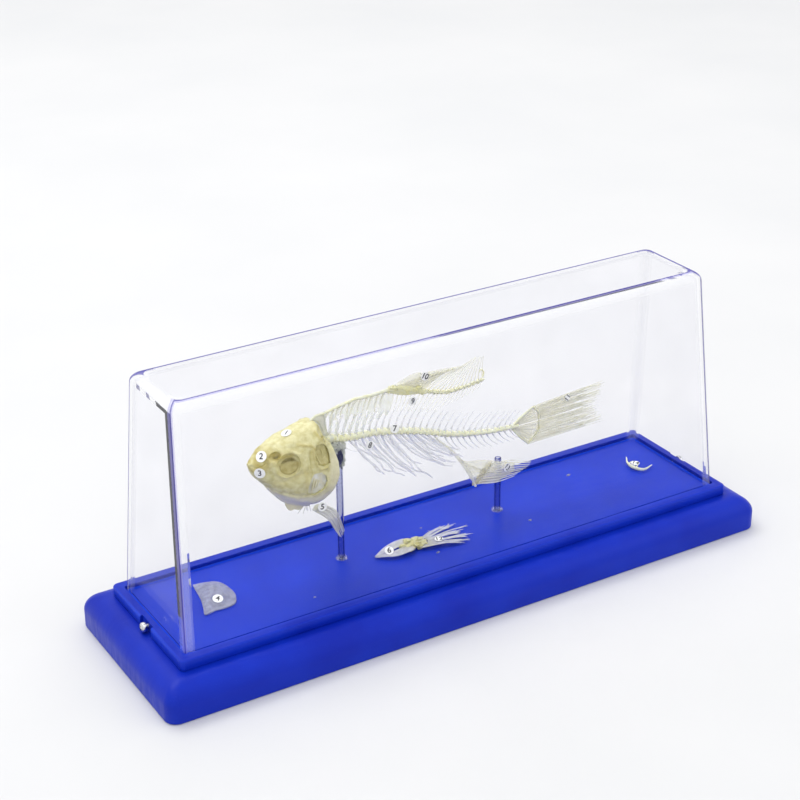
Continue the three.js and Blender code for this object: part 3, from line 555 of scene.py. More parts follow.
def cover_ring(length, depth, corner, z):
    """A ring with finely stepped corners and one more point on each side of every corner."""
    points = []
    steps = EDGE["steps"]
    arcs = rounded_ring(length, depth, corner, z, steps)
    for quarter in range(4):
        arc = [Vector(p) for p in arcs[quarter * (steps + 1):(quarter + 1) * (steps + 1)]]
        before, after = arc[0] - arc[1], arc[-1] - arc[-2]
        way_in = Vector((0, before.y, 0)) if quarter % 2 == 0 else Vector((before.x, 0, 0))
        way_out = Vector((after.x, 0, 0)) if quarter % 2 == 0 else Vector((0, after.y, 0))
        points += [arc[0] + way_in.normalized() * EDGE["strip"], *arc,
                   arc[-1] + way_out.normalized() * EDGE["strip"]]
    return points


def cover():
    """The clear cover: walls, and rounded edges on which edge_slot paints reflection lines and a highlight.
    """
    def at(inset, z, corner):
        lean = (z - RIM["top"]) / (COVER["top"] - RIM["top"])
        return cover_ring(mix(COVER["length"], COVER["top_length"], lean) - 2 * inset,
                          mix(COVER["depth"], COVER["top_depth"], lean) - 2 * inset, corner, z)

    def skin(inset, top, edge):
        corner = max(COVER["corner"] - inset, 0.8)
        heights = (GROOVE["bottom"] + GAP, top - edge - EDGE["strip"], top - edge)
        rings = [at(inset, z, corner) for z in heights]
        for i in range(1, EDGE["steps"] + 1):
            angle = i / EDGE["steps"] * math.pi / 2
            shrink = edge * (1 - math.cos(angle))
            rings.append(at(inset + shrink, top - edge + edge * math.sin(angle), max(corner, shrink)))
        rings.append(at(inset + edge + EDGE["strip"], top, max(corner, edge)))
        return rings

    outer = skin(0, COVER["top"], COVER["round"])
    inner = skin(COVER["wall"], COVER["top"] - COVER["wall"], COVER["round"] - COVER["wall"] + 0.6)
    vertices, faces = loft([*reversed(outer), *inner])
    build = Build().add((vertices, faces))
    size, last = len(outer[0]), len(outer)
    for number in range(len(faces) - 2):
        ring, around = divmod(number, size)
        corner, around = divmod(around, size // 4)
        outside = ring < last - 1
        build.slots[number] = edge_slot(last - 2 - ring if outside else ring - last, corner, around, outside)
    return build.mesh()


def edge_slot(ring, corner, around, outside):
    """The material of a face: ring counts up from the foot, around counts over one of the four corners."""
    steps, line = EDGE["steps"], EDGE["line"]
    rounding = ring - 2
    side = (corner + (around > steps // 2)) % 4
    # The foot face is painted opaque tray blue, standing in for the lit tray seen through it; higher up, navy
    # and violet steps are painted reflection lines and pale ones a painted highlight band.
    if ring < 0:
        return PAINTED_FOOT_BLUE
    dark, core = EDGE["top"][side]
    if outside and steps - dark - core <= rounding < steps:
        return PAINTED_NAVY if rounding >= steps - dark else PAINTED_VIOLET
    if outside and rounding < steps and 1 <= around <= steps:
        return EDGE["uprights"][corner].get(around - line, PAINTED_HIGHLIGHT)
    return PAINTED_HIGHLIGHT if around <= steps + 1 or 0 <= rounding < steps else WALL


def screw(end):
    """A domed screw along X, its shank set in the rim's bore."""
    face = RIM["length"] / 2 - TAB["recess"] + SCREW["stand_off"]
    tip = COVER["length"] / 2 + 0.25 + GAP
    head, thick, shank = SCREW["head"] / 2, SCREW["thick"], SCREW["shank"] / 2
    profile = [(0.05, tip), (shank - 0.4, tip), (shank, tip + 0.4)]
    turns = 5
    for k in range(turns):
        start = mix(tip + 0.5, face - 0.2, k / turns)
        profile += [(shank, start), (shank - 0.18, start + 0.22), (shank, start + 0.44)]
    profile += [(shank, face), (head - 0.1, face + 0.02), (head, face + 0.15), (head, face + thick * 0.4)]
    for i in range(1, 8):
        angle = i / 8 * math.pi / 2
        profile.append((head * math.cos(angle), face + thick * (0.4 + 0.58 * math.sin(angle))))
    profile.append((0.05, face + thick))
    turned = lathe([(r, end * x) for r, x in profile], (0, 0, SCREW["z"]), 40, "X")
    thin, long = SCREW["slot"]
    deep = sorted((end * (face + thick - 0.55), end * (face + thick + 1)))
    body = mesh_of(turned)
    for wide, high in ((thin, long), (long, thin)):
        body = cut(body, mesh_of(block(deep, (-wide, wide), (SCREW["z"] - high, SCREW["z"] + high))))
    return body


def rod(x, top):
    """A clear tube, closed at its foot."""
    low, radius, bore = FLOOR + GAP, ROD["radius"], ROD["bore"]
    return mesh_of(lathe([(0.05, low), (radius, low), (radius, top - 0.25), (radius - 0.2, top), (bore, top),
                          (bore, low + 0.6), (0.05, low + 0.6)], (x, MID, 0), 48))


def glue_foot(x):
    """A low ring of set glue round a rod's foot."""
    low = FLOOR + GAP
    profile = [(ROD["radius"] + 0.02, low), (ROD["foot"], low)]
    for i in range(1, 8):
        angle = i / 8 * math.pi / 2
        profile.append((mix(ROD["foot"], ROD["radius"] + 0.02, 1 - math.cos(angle)),
                        low + ROD["foot_height"] * math.sin(angle)))
    vertices, faces = lathe(profile, (x, MID, 0), 40)
    for v in vertices:
        wobble = 1 + 0.14 * noise.noise(v * 0.9)
        v.x, v.y = x + (v.x - x) * wobble, MID + (v.y - MID) * wobble
    return mesh_of((vertices, faces))


piece("tray_shell", tray(), [TRAY], ["base"])
piece("cover_shell", cover(), [CLEAR, EDGE_PAINTED_HIGHLIGHT, EDGE_PAINTED_VIOLET, EDGE_PAINTED_NAVY, EDGE_PAINTED_FOOT_BLUE], ["cover"], 60)
piece("screw_left_fitted", screw(-1), [CHROME], ["screw_left"])
piece("screw_right_fitted", screw(1), [CHROME], ["screw_right"])


# ---- head -----------------------------------------------------------------------------------

roof_line = smooth_line([
    (-87.2, 77.6), (-85.3, 79.3), (-81, 82.6), (-74, 85.7), (-67, 87.8), (-61, 89.3), (-57.6, 90),
    (-55.6, 88.6), (-54, 84), (-52, 81.4), (-50.6, 80.2), (-47, 78.5)])
keel_line = smooth_line([
    (-87.2, 76.5), (-86.3, 73.2), (-84.9, 71), (-81, 66.4), (-77, 61.4), (-72.6, 56.6), (-66, 53),
    (-60, 51.2), (-55, 51.6), (-50.5, 55.5), (-47, 62)])
head_width = smooth_line([
    (-87.2, 1.2), (-85.5, 3.2), (-81, 6.2), (-74, 9.1), (-64, 11.2), (-56, 11.8), (-47, 9.6)])

# Raised and sunk lines on the side of the head: (line in X-Z, height, width).
RIDGES = [
    ([(-67.3, 84.1), (-62, 82.9), (-59.9, 80), (-59.3, 78.6)], 0.6, 0.55),
    ([(-59, 87.6), (-58.4, 86.2), (-57.2, 84.5), (-55.6, 82.8)], 0.6, 0.7),
    ([(-62, 81.2), (-61.8, 77.8), (-60.9, 74), (-59.2, 72.5), (-56.4, 72.5)], 0.65, 0.5),
    ([(-63, 80.7), (-63.7, 78), (-63.4, 75.6), (-63.9, 73.4), (-63.5, 70.9)], -0.5, 0.4),
    ([(-64.6, 80.3), (-65, 76), (-64.7, 70.5), (-64.9, 66.5)], 0.45, 0.55),
    ([(-66.9, 81.4), (-67.5, 76.8), (-66.6, 71.5), (-65.7, 65.2)], 0.35, 1.2),
    ([(-79.1, 65.1), (-75.2, 63.7), (-69.2, 61.2), (-62.9, 60.3)], -0.5, 0.55),
    ([(-76.2, 78.6), (-75.2, 80.2), (-73.4, 81.6), (-70.8, 81.8), (-68.2, 80.6)], 0.7, 0.8),
    ([(-79.4, 78.4), (-78.4, 76.6), (-76.6, 74.4), (-74.8, 72.2)], 0.3, 0.6),
    ([(-77.4, 85), (-73, 84.4), (-69.5, 85)], 0.3, 0.9),
    ([(-86.5, 77.3), (-84.9, 76.2), (-83.1, 77.3), (-80.8, 78.5)], -0.5, 0.35),
    ([(-83.6, 71.5), (-79, 66.4), (-74, 62), (-67, 57.4), (-60, 55)], 0.25, 1.1),
    ([(-82.6, 81.6), (-80.4, 79.6), (-80, 77)], 0.35, 0.5),
    ([(-65.4, 73), (-70, 71.4), (-75, 69.5), (-78.6, 69.8)], -0.22, 0.6),
]
band_edge = smooth_line([(-87, 75), (-83, 70), (-79.1, 65.1), (-75.2, 63.7), (-69.2, 61.2), (-62.9, 60.3),
                         (-56, 61)])


def distance_to(line, x, z):
    best = 1e9
    for (ax, az), (bx, bz) in zip(line, line[1:]):
        t = clamp(((x - ax) * (bx - ax) + (z - az) * (bz - az)) / ((bx - ax) ** 2 + (bz - az) ** 2))
        best = min(best, math.hypot(x - mix(ax, bx, t), z - mix(az, bz, t)))
    return best


def relief(x, z, out):
    """How far the head's surface stands out at a place: rims, ridges and lumps of bone."""
    rise = sum(height * closeness(line, x, z, width) for line, height, width in RIDGES)
    eye = math.hypot(x - ORBIT["x"], z - ORBIT["z"])
    nose = math.hypot(x - NOSTRIL["x"], z - NOSTRIL["z"])
    rise += 0.45 * math.exp(-((eye - 5.5) / 0.8) ** 2) + 0.25 * math.exp(-((nose - 2.9) / 0.6) ** 2)
    place = Vector((x, out, z))
    return (rise + 0.28 * noise.noise(place * 0.23) + 0.14 * noise.noise(place * 0.6)
            + 0.05 * noise.noise(place * 1.7))


def head_form(inset, front, back, stations=128, sides=144, detailed=True):
    """The head's form, drawn in by a wall thickness: a broad roof over a narrowing throat."""
    rings = []
    for i in range(stations + 1):
        x = mix(front, back, (i / stations) ** 1.1)
        top, bottom = roof_line(x) - inset, keel_line(x) + inset
        half, rise = max(head_width(x) - inset, 0.3), max((top - bottom) / 2, 0.3)
        ring = []
        for k in range(sides):
            angle = -TURN * (k + 0.5) / sides
            s, c = math.sin(angle), math.cos(angle)
            out = math.copysign(half * abs(s) ** (0.98 - 0.26 * c), s)
            z = (top + bottom) / 2 + rise * c
            grow = relief(x, z, out) if detailed else 0
            spread = clamp(half / 4) * grow
            ring.append((x, MID + out + spread * s, z + spread * c * 0.8))
        rings.append(ring)
    return mesh_of(loft(rings))


SUTURES = {
    "snout": [(-80.4, 95), (-80.6, 79), (-80.9, 75.4)],
    "skull_base": [(-80.6, 78.2), (-77, 76.6), (-72.7, 77.4), (-68, 77.4), (-64.4, 79.4), (-61.9, 82.6),
                   (-58, 82), (-54.5, 81.2), (-48, 78.8)],
    "mouth": [(-92, 79.4), (-87.2, 77.7), (-84.2, 76.6), (-80.9, 75.4)],
    "jaw_joint": [(-80.9, 75.4), (-79.6, 69), (-79.8, 55)],
    "gill_cover": [(-61.9, 82.6), (-62.3, 76), (-63.4, 69), (-62.6, 60), (-61.8, 53), (-62.2, 44)],
    "shoulder": [(-54.5, 81.2), (-53.4, 75.5), (-53.2, 70), (-54.4, 63.5), (-57.2, 56.5), (-59.8, 52.5),
                 (-60.2, 44)],
}
SHOULDER_BACK = [(-52, 84), (-51.3, 79.5), (-50, 72.5), (-50.2, 66.2), (-52.2, 60.2), (-55.4, 54.4),
                 (-57.6, 50), (-57.8, 44)]
UPPER_OPENING = [(-61.3, 81.1), (-60.2, 82.8), (-57.4, 83.2), (-55.8, 81.8), (-54.9, 79.6), (-54.4, 76.5),
                 (-54.6, 73.7), (-58.3, 73.4), (-60.5, 74.6), (-61.6, 77.8)]
LOWER_OPENING = [(-65, 62.5), (-64.8, 67.5), (-62.6, 71), (-59.4, 71.2), (-57, 68.8), (-56.4, 65.6),
                 (-57.8, 62.2), (-61, 60.2), (-63.8, 60.8)]


# Ochre along some of the ridges: (number of the ridge, most, width).
STAINED = [(0, 0.75, 0.6), (1, 0.5, 0.8), (2, 0.45, 0.7), (5, 0.3, 0.9), (3, 0.35, 0.5), (13, 0.25, 1.2)]


def closeness(line, x, z, width):
    return math.exp(-(distance_to(line, x, z) / width) ** 2)


def head_tint(v):
    """Ochre stains at the snout and temple, and round the eye and nose, deepened in their sockets as painted
    shade;
    a greyed throat band, painted shade of the underside, and a greyed shoulder.
    """
    x, z = v.x, v.z
    eye = math.hypot(x - ORBIT["x"], z - ORBIT["z"])
    nose = math.hypot((x - NOSTRIL["x"]) * 0.75, z - NOSTRIL["z"])
    # Ochre round the eye, strongest in the top of its socket, and in the nose: partly stain, partly painted
    # shade inside the sockets.
    tint = 0.45 * clamp(1.2 - eye / 4.9) + 0.9 * clamp(1.6 - eye / 3.4) * clamp((z - ORBIT["z"] - 1.2) / 1.6)
    tint += 0.8 * clamp(1.3 - nose / 2.4)
    tint += clamp(0.65 + 0.9 * noise.noise(v * 0.55)) * clamp((-79 - x) / 3) * clamp((z - 72) / 3)
    tint += sum(most * closeness(RIDGES[ridge][0], x, z, width) for ridge, most, width in STAINED)
    # Grey below band_edge: painted shade of the underside. Greyed on the shoulder behind the gill cover as
    # well.
    grey_and_shade = 0.85 * clamp((band_edge(x) - z) / 2.4)
    grey_and_shade = max(grey_and_shade, 0.45 * clamp((x + 57.6 - 0.12 * (z - 60)) / 2.5) * clamp((79 - z) / 3))
    return clamp(tint) * (1 - grey_and_shade) - grey_and_shade


def through(outline, near=MID - HEAD["reach"], far=MID + HEAD["reach"]):
    return mesh_of(slab(outline, near, far))


def on_side(outline, side):
    return through(outline, *sorted((MID, MID + side * HEAD["reach"])))


def tint_mesh(mesh, tint):
    """Writes the ochre tint of each vertex afresh, because a cut leaves it uneven."""
    if "tint" in mesh.attributes:
        mesh.attributes.remove(mesh.attributes["tint"])
    values = [tint(v.co) for v in mesh.vertices]
    mesh.attributes.new("tint", "FLOAT", "POINT").data.foreach_set("value", values)
    return mesh


def face_holes(body):
    for side in (-1, 1):
        for hole in (ORBIT, NOSTRIL):
            centre = (hole["x"], MID + side * hole["out"], hole["z"])
            body = cut(body, mesh_of(ball(centre, hole["radii"], 40)))
    return body


def head_pieces():
    form = head_form(0, HEAD["front"], HEAD["back"])
    wall = HEAD["wall"]
    hollow = head_form(wall, HEAD["front"] + wall, HEAD["back"] + 3, 40, 48, False)
    shell = face_holes(cut(form.copy(), hollow))
    solid = face_holes(form)
    core = head_form(wall + 0.4, HEAD["front"] + wall, HEAD["back"], 40, 48, False)

    snout, base, mouth = SUTURES["snout"], SUTURES["skull_base"], SUTURES["mouth"]
    joint, gill, shoulder = SUTURES["jaw_joint"], SUTURES["gill_cover"], SUTURES["shoulder"]
    front = [(-80, 44), *joint[-2::-1], *base[1:6]]
    roof = [(-80.5, 95), (-80.9, 75.4), *base[1:8], (-53.6, 80.6), (-53.6, 95)]
    floor = [(-78.5, 78), (-76, 72.5), (-70, 70.5), (-62, 71), (-55, 76), (-52.5, 79), (-52.5, 84),
             (-78.5, 80)]
    upper = [(-92, 95), *snout, *mouth[-2::-1]]
    lower = [*mouth, *joint[1:], (-92, 55)]
    cheek = [*front, *gill[1:]]
    open_cheek = [*front, (-58, 82), *shoulder]
    opercle = [*gill, *shoulder[::-1], (-58, 82)]
    girdle = [*shoulder, *SHOULDER_BACK[::-1]]

    cranium = cut(solid.copy(), through(roof), "INTERSECT")
    cranium = cut(cranium, through(UPPER_OPENING, MID - HEAD["reach"], MID - 7.6))
    for side in (-1, 1):
        cranium = cut(cranium, mesh_of(ball((-52.3, MID + side * 8.6, 90), (6.2, 6.6, 9.2), 40)))
    braincase = face_holes(cut(core, through(floor), "INTERSECT"))
    left = cut(shell.copy(), on_side(open_cheek, -1), "INTERSECT")
    for opening in (UPPER_OPENING, LOWER_OPENING):
        left = cut(left, on_side(opening, -1))
    made = {
        "neurocranium": cranium,
        "jaw_upper": cut(solid.copy(), through(upper), "INTERSECT"),
        "jaw_lower": cut(shell.copy(), through(lower), "INTERSECT"),
        "cheek_left": left,
    }
    for node, outline, side in (("cheek_right", cheek, 1), ("opercle_right", opercle, 1),
                                ("girdle_left", girdle, -1), ("girdle_right", girdle, 1)):
        made[node] = cut(shell.copy(), on_side(outline, side), "INTERSECT")
    for node, mesh in made.items():
        piece(node + "_bone", tint_mesh(mesh, head_tint), [SKULL], [node], 50)
    piece("braincase_wall", tint_mesh(braincase, lambda v: 0.5), [CHAMBER], angle=50)


def lining(area, depth):
    """A skin that lies under the left cheek, where the given area shows through its openings."""
    outer = head_form(depth, HEAD["front"] + depth, HEAD["back"], 60, 72, False)
    inner = head_form(depth + 0.5, HEAD["front"] + depth + 0.5, HEAD["back"] + 3, 40, 48, False)
    skin = cut(cut(outer, inner), on_side(area, -1), "INTERSECT")
    for v in skin.vertices:
        v.co.y += 0.5 * noise.noise(v.co * 0.8)
    return tint_mesh(skin, cloudy(0.25, 0.7, 0.5))


def gill_bars():
    """Ridges of the jaw's hinge bone, seen in the upper opening, and arches in the lower one."""
    bars = Build()
    y = MID - 10.3
    lines = [
        ([(-61, y + 1, 80.4), (-60.4, y + 0.2, 77.6), (-59.2, y, 75), (-57.4, y + 0.2, 73.6)], 0.9),
        ([(-58.6, y + 0.9, 81.4), (-57.6, y + 0.5, 79), (-58, y + 0.4, 76.6)], 0.6),
    ]
    for line, width in lines:
        bars.add(tube(line, swell(width * 0.4, width * 0.6)), tint=0.3)
    for k in range(4):
        x, rise = -63.4 + 1.3 * k, k * 0.6
        line = [(x, y + 0.5, 62.4 + rise), (x + 0.7, y, 65.4 + rise), (x + 1.5, y + 0.2, 69 + k * 0.1)]
        bars.add(tube(line, swell(0.25, 0.5)), tint=-0.5)
    return bars.mesh()


def throat():
    """The keel of the throat with the thin blade that hangs under it."""
    half, fin = 2.6, 0.4
    build = Build()
    rings = []
    for i in range(25):
        x = mix(-79.8, -60.4, i / 24)
        z = keel_line(x)
        rings.append([(x, MID + half * math.cos(a), z + 0.9 + 1.2 * math.sin(a) - 0.25 * math.cos(3 * a))
                      for a in [TURN * k / 16 for k in range(16)]])
    # The throat keel and the blade under it are greyed by a negative tint: painted shade of the head's
    # underside.
    build.add(loft(rings), tint=-0.8)
    tongue = [(-71, 55), (-70.7, 53.2), (-69.6, 51), (-68.4, 50.4), (-66.8, 50.6), (-65, 49.7), (-63.4, 49.9),
              (-62.4, 50.6), (-61.4, 51.6), (-61.2, 53)]
    build.add(slab(tongue, MID - fin, MID + fin), tint=-0.7)
    return build.mesh()


head_pieces()
UPPER_LINING = [(-62.6, 84), (-53, 84), (-52.6, 74), (-53.4, 71.6), (-62.6, 71.6)]
LOWER_LINING = [(-66, 72), (-55.4, 72), (-55.4, 64), (-58, 59.4), (-66, 59.4)]
piece("chamber_lining", lining(UPPER_LINING, 1.15), [CHAMBER])
piece("gill_membrane", lining(LOWER_LINING, 1.1), [MEMBRANE])
piece("gill_bars", gill_bars(), [SKULL])
piece("throat_bone", throat(), [SKULL], ["throat"])


def crest():
    """The thin crest behind the skull roof, and the knobbly bones that join the skull to the spine."""
    outline = [(-59.6, 86.8), (-58.4, 89.2), (-56.4, 90.6), (-55, 91.4), (-51.1, 91.2), (-50.6, 87.6),
               (-50.4, 84.5), (-49.4, 80.8), (-49, 78), (-52.4, 78.6), (-56.6, 80.6), (-58.8, 83.4)]
    build = Build().add(slab(outline, MID - 0.35, MID + 0.35), 1, 0.05)
    ridges = [[(-59, 87), (-56, 86.6), (-53, 84), (-50.4, 79.6)],
              [(-56.4, 90.4), (-53.6, 87.6), (-51.6, 83), (-50, 79)],
              [(-54.8, 91.2), (-51.4, 90.8), (-50.8, 86), (-49.6, 81)],
              [(-58, 83.2), (-54.6, 81.8), (-50, 78.6)]]
    for ridge in ridges:
        line = [(x, MID, z) for x, z in ridge]
        build.add(tube(line, taper(1.1, 0.9), swell(0.5, 0.5), steps=24), 1, cloudy(0.1, 0.5, 0.6))
    knots = [(-53.8, 79.2, 2.4), (-51.2, 79.4, 2.3), (-48.8, 79.4, 1.9), (-46.6, 78.6, 1.5), (-52.4, 77, 2.2)]
    for x, z, size in knots:
        for side in (-1, 1):
            centre = (x, MID + side * size * 0.6, z)
            build.add(ball(centre, (size, size * 0.9, size * 0.8), 20, 0.7), tint=cloudy(0.2, 0.8, 0.5))
    for side in (-1, 1):
        strut = [(-50, MID + side * 1.6, 78), (-51, MID + side * 4, 76.4), (-52.4, MID + side * 7, 75.2)]
        build.add(tube(strut, taper(1.5, 0.9), taper(1.2, 0.8), (1, 0, 0), 10), tint=0.2)
    return build.mesh()


piece("skull_crest", crest(), [VERTEBRA, CREST])


# ---- spine and ribs -------------------------------------------------------------------------

spine_line = smooth_line([
    (-51, 79.8), (-40, 77.2), (-26, 76.1), (-7, 71.6), (13, 64.7), (30, 61.3), (48, 59.6)])
TRUNK_END = SPINE["start"] + SPINE["trunk"] * SPINE["pitch"]
TAIL_END = TRUNK_END + SPINE["tail"] * SPINE["pitch"]
spine_length = smooth_line([(0, 10), (17, 9.2), (24, 8.4), (31, 6)])
spine_lean = smooth_line([(0, 0.28), (17, 0.62), (31, 0.95)])
rib_drop = smooth_line([(0, 20), (0.2, 26), (0.4, 27.5), (0.7, 23), (1, 16)])
rib_sweep = smooth_line([(0, 21), (0.3, 27), (0.6, 29), (0.85, 29), (1, 24)])


def spine_x(index):
    return SPINE["start"] + (index + 0.5) * SPINE["pitch"]


def on_spine(x, up=0.0, out=0.0):
    return Vector((x, MID + out, spine_line(x) + up))


def spine_tip(index, up):
    length = spine_length(index)
    return on_spine(spine_x(index)) + Vector((spine_lean(index) * length, 0, up * length))


def column(first, count, shrink):
    """Hourglass-shaped vertebral bodies with raised rims, end to end."""
    profile = [(0.0, 1.0), (0.1, 1.04), (0.2, 0.92), (0.35, 0.78), (0.5, 0.72), (0.65, 0.78), (0.8, 0.92),
               (0.9, 1.04), (0.985, 0.98), (0.992, 0.86)]
    sides = 16
    rings = []
    for i in range(first, first + count):
        for t, size in profile:
            x = SPINE["start"] + (i + t) * SPINE["pitch"]
            radius = SPINE["rim"] * size * shrink(x)
            ring = []
            for k in range(sides):
                angle = TURN * k / sides
                flute = 1 + 0.07 * math.cos(4 * angle) * (1 - abs(2 * t - 1))
                rough = 1 + 0.05 * noise.noise(Vector((x, angle * 2, i)))
                ring.append(on_spine(x, radius * flute * rough * math.sin(angle),
                                     radius * flute * rough * math.cos(angle)))
            rings.append(ring)
    return loft(rings)


def spike(index, up, root_width, tip_width, bow=0.8):
    """The spine above or below a vertebra: a bowed blade on two small feet."""
    root, tip = on_spine(spine_x(index), up * 0.9), spine_tip(index, up)
    tip = tip + Vector((chance.uniform(-0.4, 0.4), chance.uniform(-0.25, 0.25), chance.uniform(-0.4, 0.4)))
    middle = root.lerp(tip, 0.5) + Vector((-bow * 0.6, 0, up * bow * 0.5))
    blade = tube([root, middle, tip], taper(0.6, 0.25), taper(root_width, tip_width), sides=6, steps=8)
    feet = [tube([on_spine(spine_x(index) + 0.2, up * 0.9, side * 1.1), root.lerp(middle, 0.45)],
                 taper(0.5, 0.35), sides=6, steps=3) for side in (-1, 1)]
    return [blade, *feet]


def trunk_spine():
    build = Build().add(column(0, SPINE["trunk"], lambda x: 1), tint=fading(0.35, 0, -36, 10))
    for i in range(SPINE["trunk"]):
        width = mix(1.8, 0.95, clamp(i / 9))
        for part in spike(i, 1, width, mix(1.1, 0.6, clamp(i / 9))):
            build.add(part, 1, 0.05)
        for side in (-1, 1):
            knob = on_spine(spine_x(i), -0.7, side * 1.3)
            build.add(ball(knob, (0.7, 0.55, 0.5), 10, 0.3), tint=0.15)
    return build.mesh()


def tail_spine():
    end = SPINE["end"] / SPINE["rim"]

    def shrink(x):
        return mix(1, end, clamp((x - TRUNK_END) / (TAIL_END - TRUNK_END)))

    build = Build().add(column(SPINE["trunk"], SPINE["tail"], shrink))
    for i in range(SPINE["trunk"], SPINE["trunk"] + SPINE["tail"] - 1):
        for up in (1, -1):
            for part in spike(i, up, 0.7, 0.36):
                build.add(part, 1)
    return build.mesh()


def rib(x, u, side, wild):
    """A rib drops steeply, bows outwards and sweeps back to a thin tip."""
    bulge = RIBS["bulge"] * mix(1, 0.6, u)
    sway = 1 + chance.uniform(-wild, wild * 0.4)
    drop = rib_drop(u) * (1 + chance.uniform(-wild, wild * 0.5))

    def point(s, out):
        angle = s * RIBS["arc"]
        sweep = rib_sweep(u) * sway * (1 - math.cos(angle)) ** 0.55
        return on_spine(x, -0.7 - drop * math.sin(angle), side * out) + Vector((sweep, 0, 0))

    line = [point(0, 0.9), point(0.14, 0.4 * bulge), point(0.3, 0.75 * bulge), point(0.45, bulge),
            point(0.6, 0.95 * bulge), point(0.8, 0.75 * bulge), point(1, 0.5 * bulge)]
    for k in (4, 5, 6):
        line[k] = line[k] + Vector([chance.uniform(-1, 1) for _ in range(3)]) * (4 * wild)
    return tube(line, taper(0.52, 0.28), lambda t: 0.7 * (1 - t) ** 0.6 + 0.36, steps=24)


def rib_cage(side):
    """One side's ribs on their knobs, and short stray bones between them."""
    build = Build()
    for i in range(RIBS["count"]):
        x = spine_x(RIBS["first"] + i)
        u = i / (RIBS["count"] - 1)
        build.add(rib(x, u, side, RIBS["wild"]))
        build.add(ball(on_spine(x, -0.9, side * 1.1), (0.8, 0.6, 0.7), 10, 0.3), tint=0.3)
    for i in range(RIBS["strays"]):
        x = spine_x(1 + 2.4 * i)
        start = on_spine(x, -1.2, side * 1.4)
        reach = [chance.random() for _ in range(3)]
        end = start + Vector((6 + 5 * reach[0], side * (1 + 4 * reach[1]), -4 - 6 * reach[2]))
        middle = start.lerp(end, 0.5) + Vector((chance.uniform(-1, 1), side * 0.8, -1.4))
        build.add(tube([start, middle, end], taper(0.32, 0.16), sides=5, steps=10))
    return build.mesh()


piece("trunk_vertebrae", trunk_spine(), [VERTEBRA, RIB], ["spine_trunk"])
piece("tail_vertebrae", tail_spine(), [VERTEBRA, RIB], ["spine_tail"])
piece("rib_row_left", rib_cage(-1), [RIB], ["ribs_left"])
piece("rib_row_right", rib_cage(1), [RIB], ["ribs_right"])


# ---- nape and fins --------------------------------------------------------------------------

back_line = smooth_line([
    (-55, 91), (-47, 93.8), (-40, 94.7), (-33, 95), (-20, 94), (-11.5, 92), (-4, 90.2), (3, 88), (10, 86.3),
    (16.5, 86.4), (22, 86.8), (28, 87.7)])
ray_tip_height = smooth_line([(0, 96.4), (0.4, 97.1), (0.75, 98.9), (1, 98.8)])


def on_back(x, up=0.0):
    return Vector((x, MID, back_line(x) + up))


NAPE_TOP = [(-57.8, 90.3), (-55.4, 91.5), (-53, 91.8), (-49, 92.3), (-45.1, 93.2), (-39.5, 94.1),
            (-36.5, 94.6), (-29.7, 94.4), (-22.8, 94.6), (-19.4, 95)]
nape_ridge = smooth_line(NAPE_TOP)
NAPE_HOLES = [
    [(-50.3, 89.5), (-49.1, 90.3), (-48.4, 86.7), (-48.6, 80.9), (-50, 81.7)],
    [(-45, 88.3), (-43.2, 89), (-41.4, 88.5), (-41, 83.3), (-42, 80.8), (-43.2, 80.4)],
    [(-39.3, 88), (-37, 87.4), (-37.8, 83.5), (-38.9, 82.8)],
    [(-27.2, 86.9), (-25, 88.3), (-26.2, 83.5), (-28.3, 82.1)],
    [(-46.9, 86.8), (-46.1, 87.2), (-46.1, 82), (-46.9, 81.4)],
    [(-34.6, 86.8), (-33.4, 87.4), (-34, 83.4), (-35, 82.8)],
    [(-30.9, 87), (-29.9, 87.8), (-30.4, 84), (-31.4, 83.2)],
]


def nape():
    """A thin sheet of fused bones between the skull and the dorsal fin, with slits and a stout ridge."""
    low = []
    for i in range(9):
        reach = clamp((i - 4) / 5)
        feet = [on_spine(spine_x(k), 1.3).lerp(spine_tip(k, 1), mix(0.02, 0.8, reach)) for k in (i, i + 1)]
        low += [feet[0], feet[0].lerp(feet[1], 0.5) + Vector((0.6, 0, mix(0.6, 4.4, reach)))]
    outline = [*NAPE_TOP, (-17.6, 91.4), *[(p.x, p.z) for p in reversed(low)], (-50.2, 80)]
    sheet = mesh_of(slab(outline, MID - 0.2, MID + 0.2))
    slits = []
    for k in range(9):
        x, rise = -47.4 + SPINE["pitch"] * k, 8 - 0.3 * k
        z, lean = spine_line(x) + 2.6, 0.3 + 0.03 * k
        slits.append([(x - 0.75, z), (x + 0.75, z + 0.2), (x + lean * rise + 0.5, z + rise),
                      (x + lean * rise - 0.4, z + rise - 0.3)])
    for hole in [*NAPE_HOLES, *slits]:
        sheet = cut(sheet, through(hole, MID - 2, MID + 2))
    tint_mesh(sheet, lambda v: 0.0)
    torn = [v.co.copy() for v in sheet.vertices], [tuple(face.vertices) for face in sheet.polygons]
    build = Build().add(torn, 1, fading(0.4, 2, 91.6, -2.4))
    ridge = [(x, MID, z - 0.5) for x, z in NAPE_TOP]
    build.add(tube(ridge, taper(1.2, 1.5), lambda t: mix(0.9, 1.6, t), sides=10, steps=60),
              tint=lambda v: clamp(0.3 + 0.7 * noise.noise(v * 0.45)) * clamp((-30 - v.x) / 14 + 0.35))
    for i in range(12):
        x = mix(-52, -22, i / 11)
        top = Vector((x, MID, nape_ridge(x) - 0.9))
        foot = top + Vector((chance.uniform(-3.4, -1.6), 0, -chance.uniform(5.5, 8.5)))
        build.add(tube(bowed(top, foot, (-0.5, 0, 0)), taper(0.6, 0.45), taper(1.3, 0.5), steps=8), 2, 0.1)
    return build.mesh()


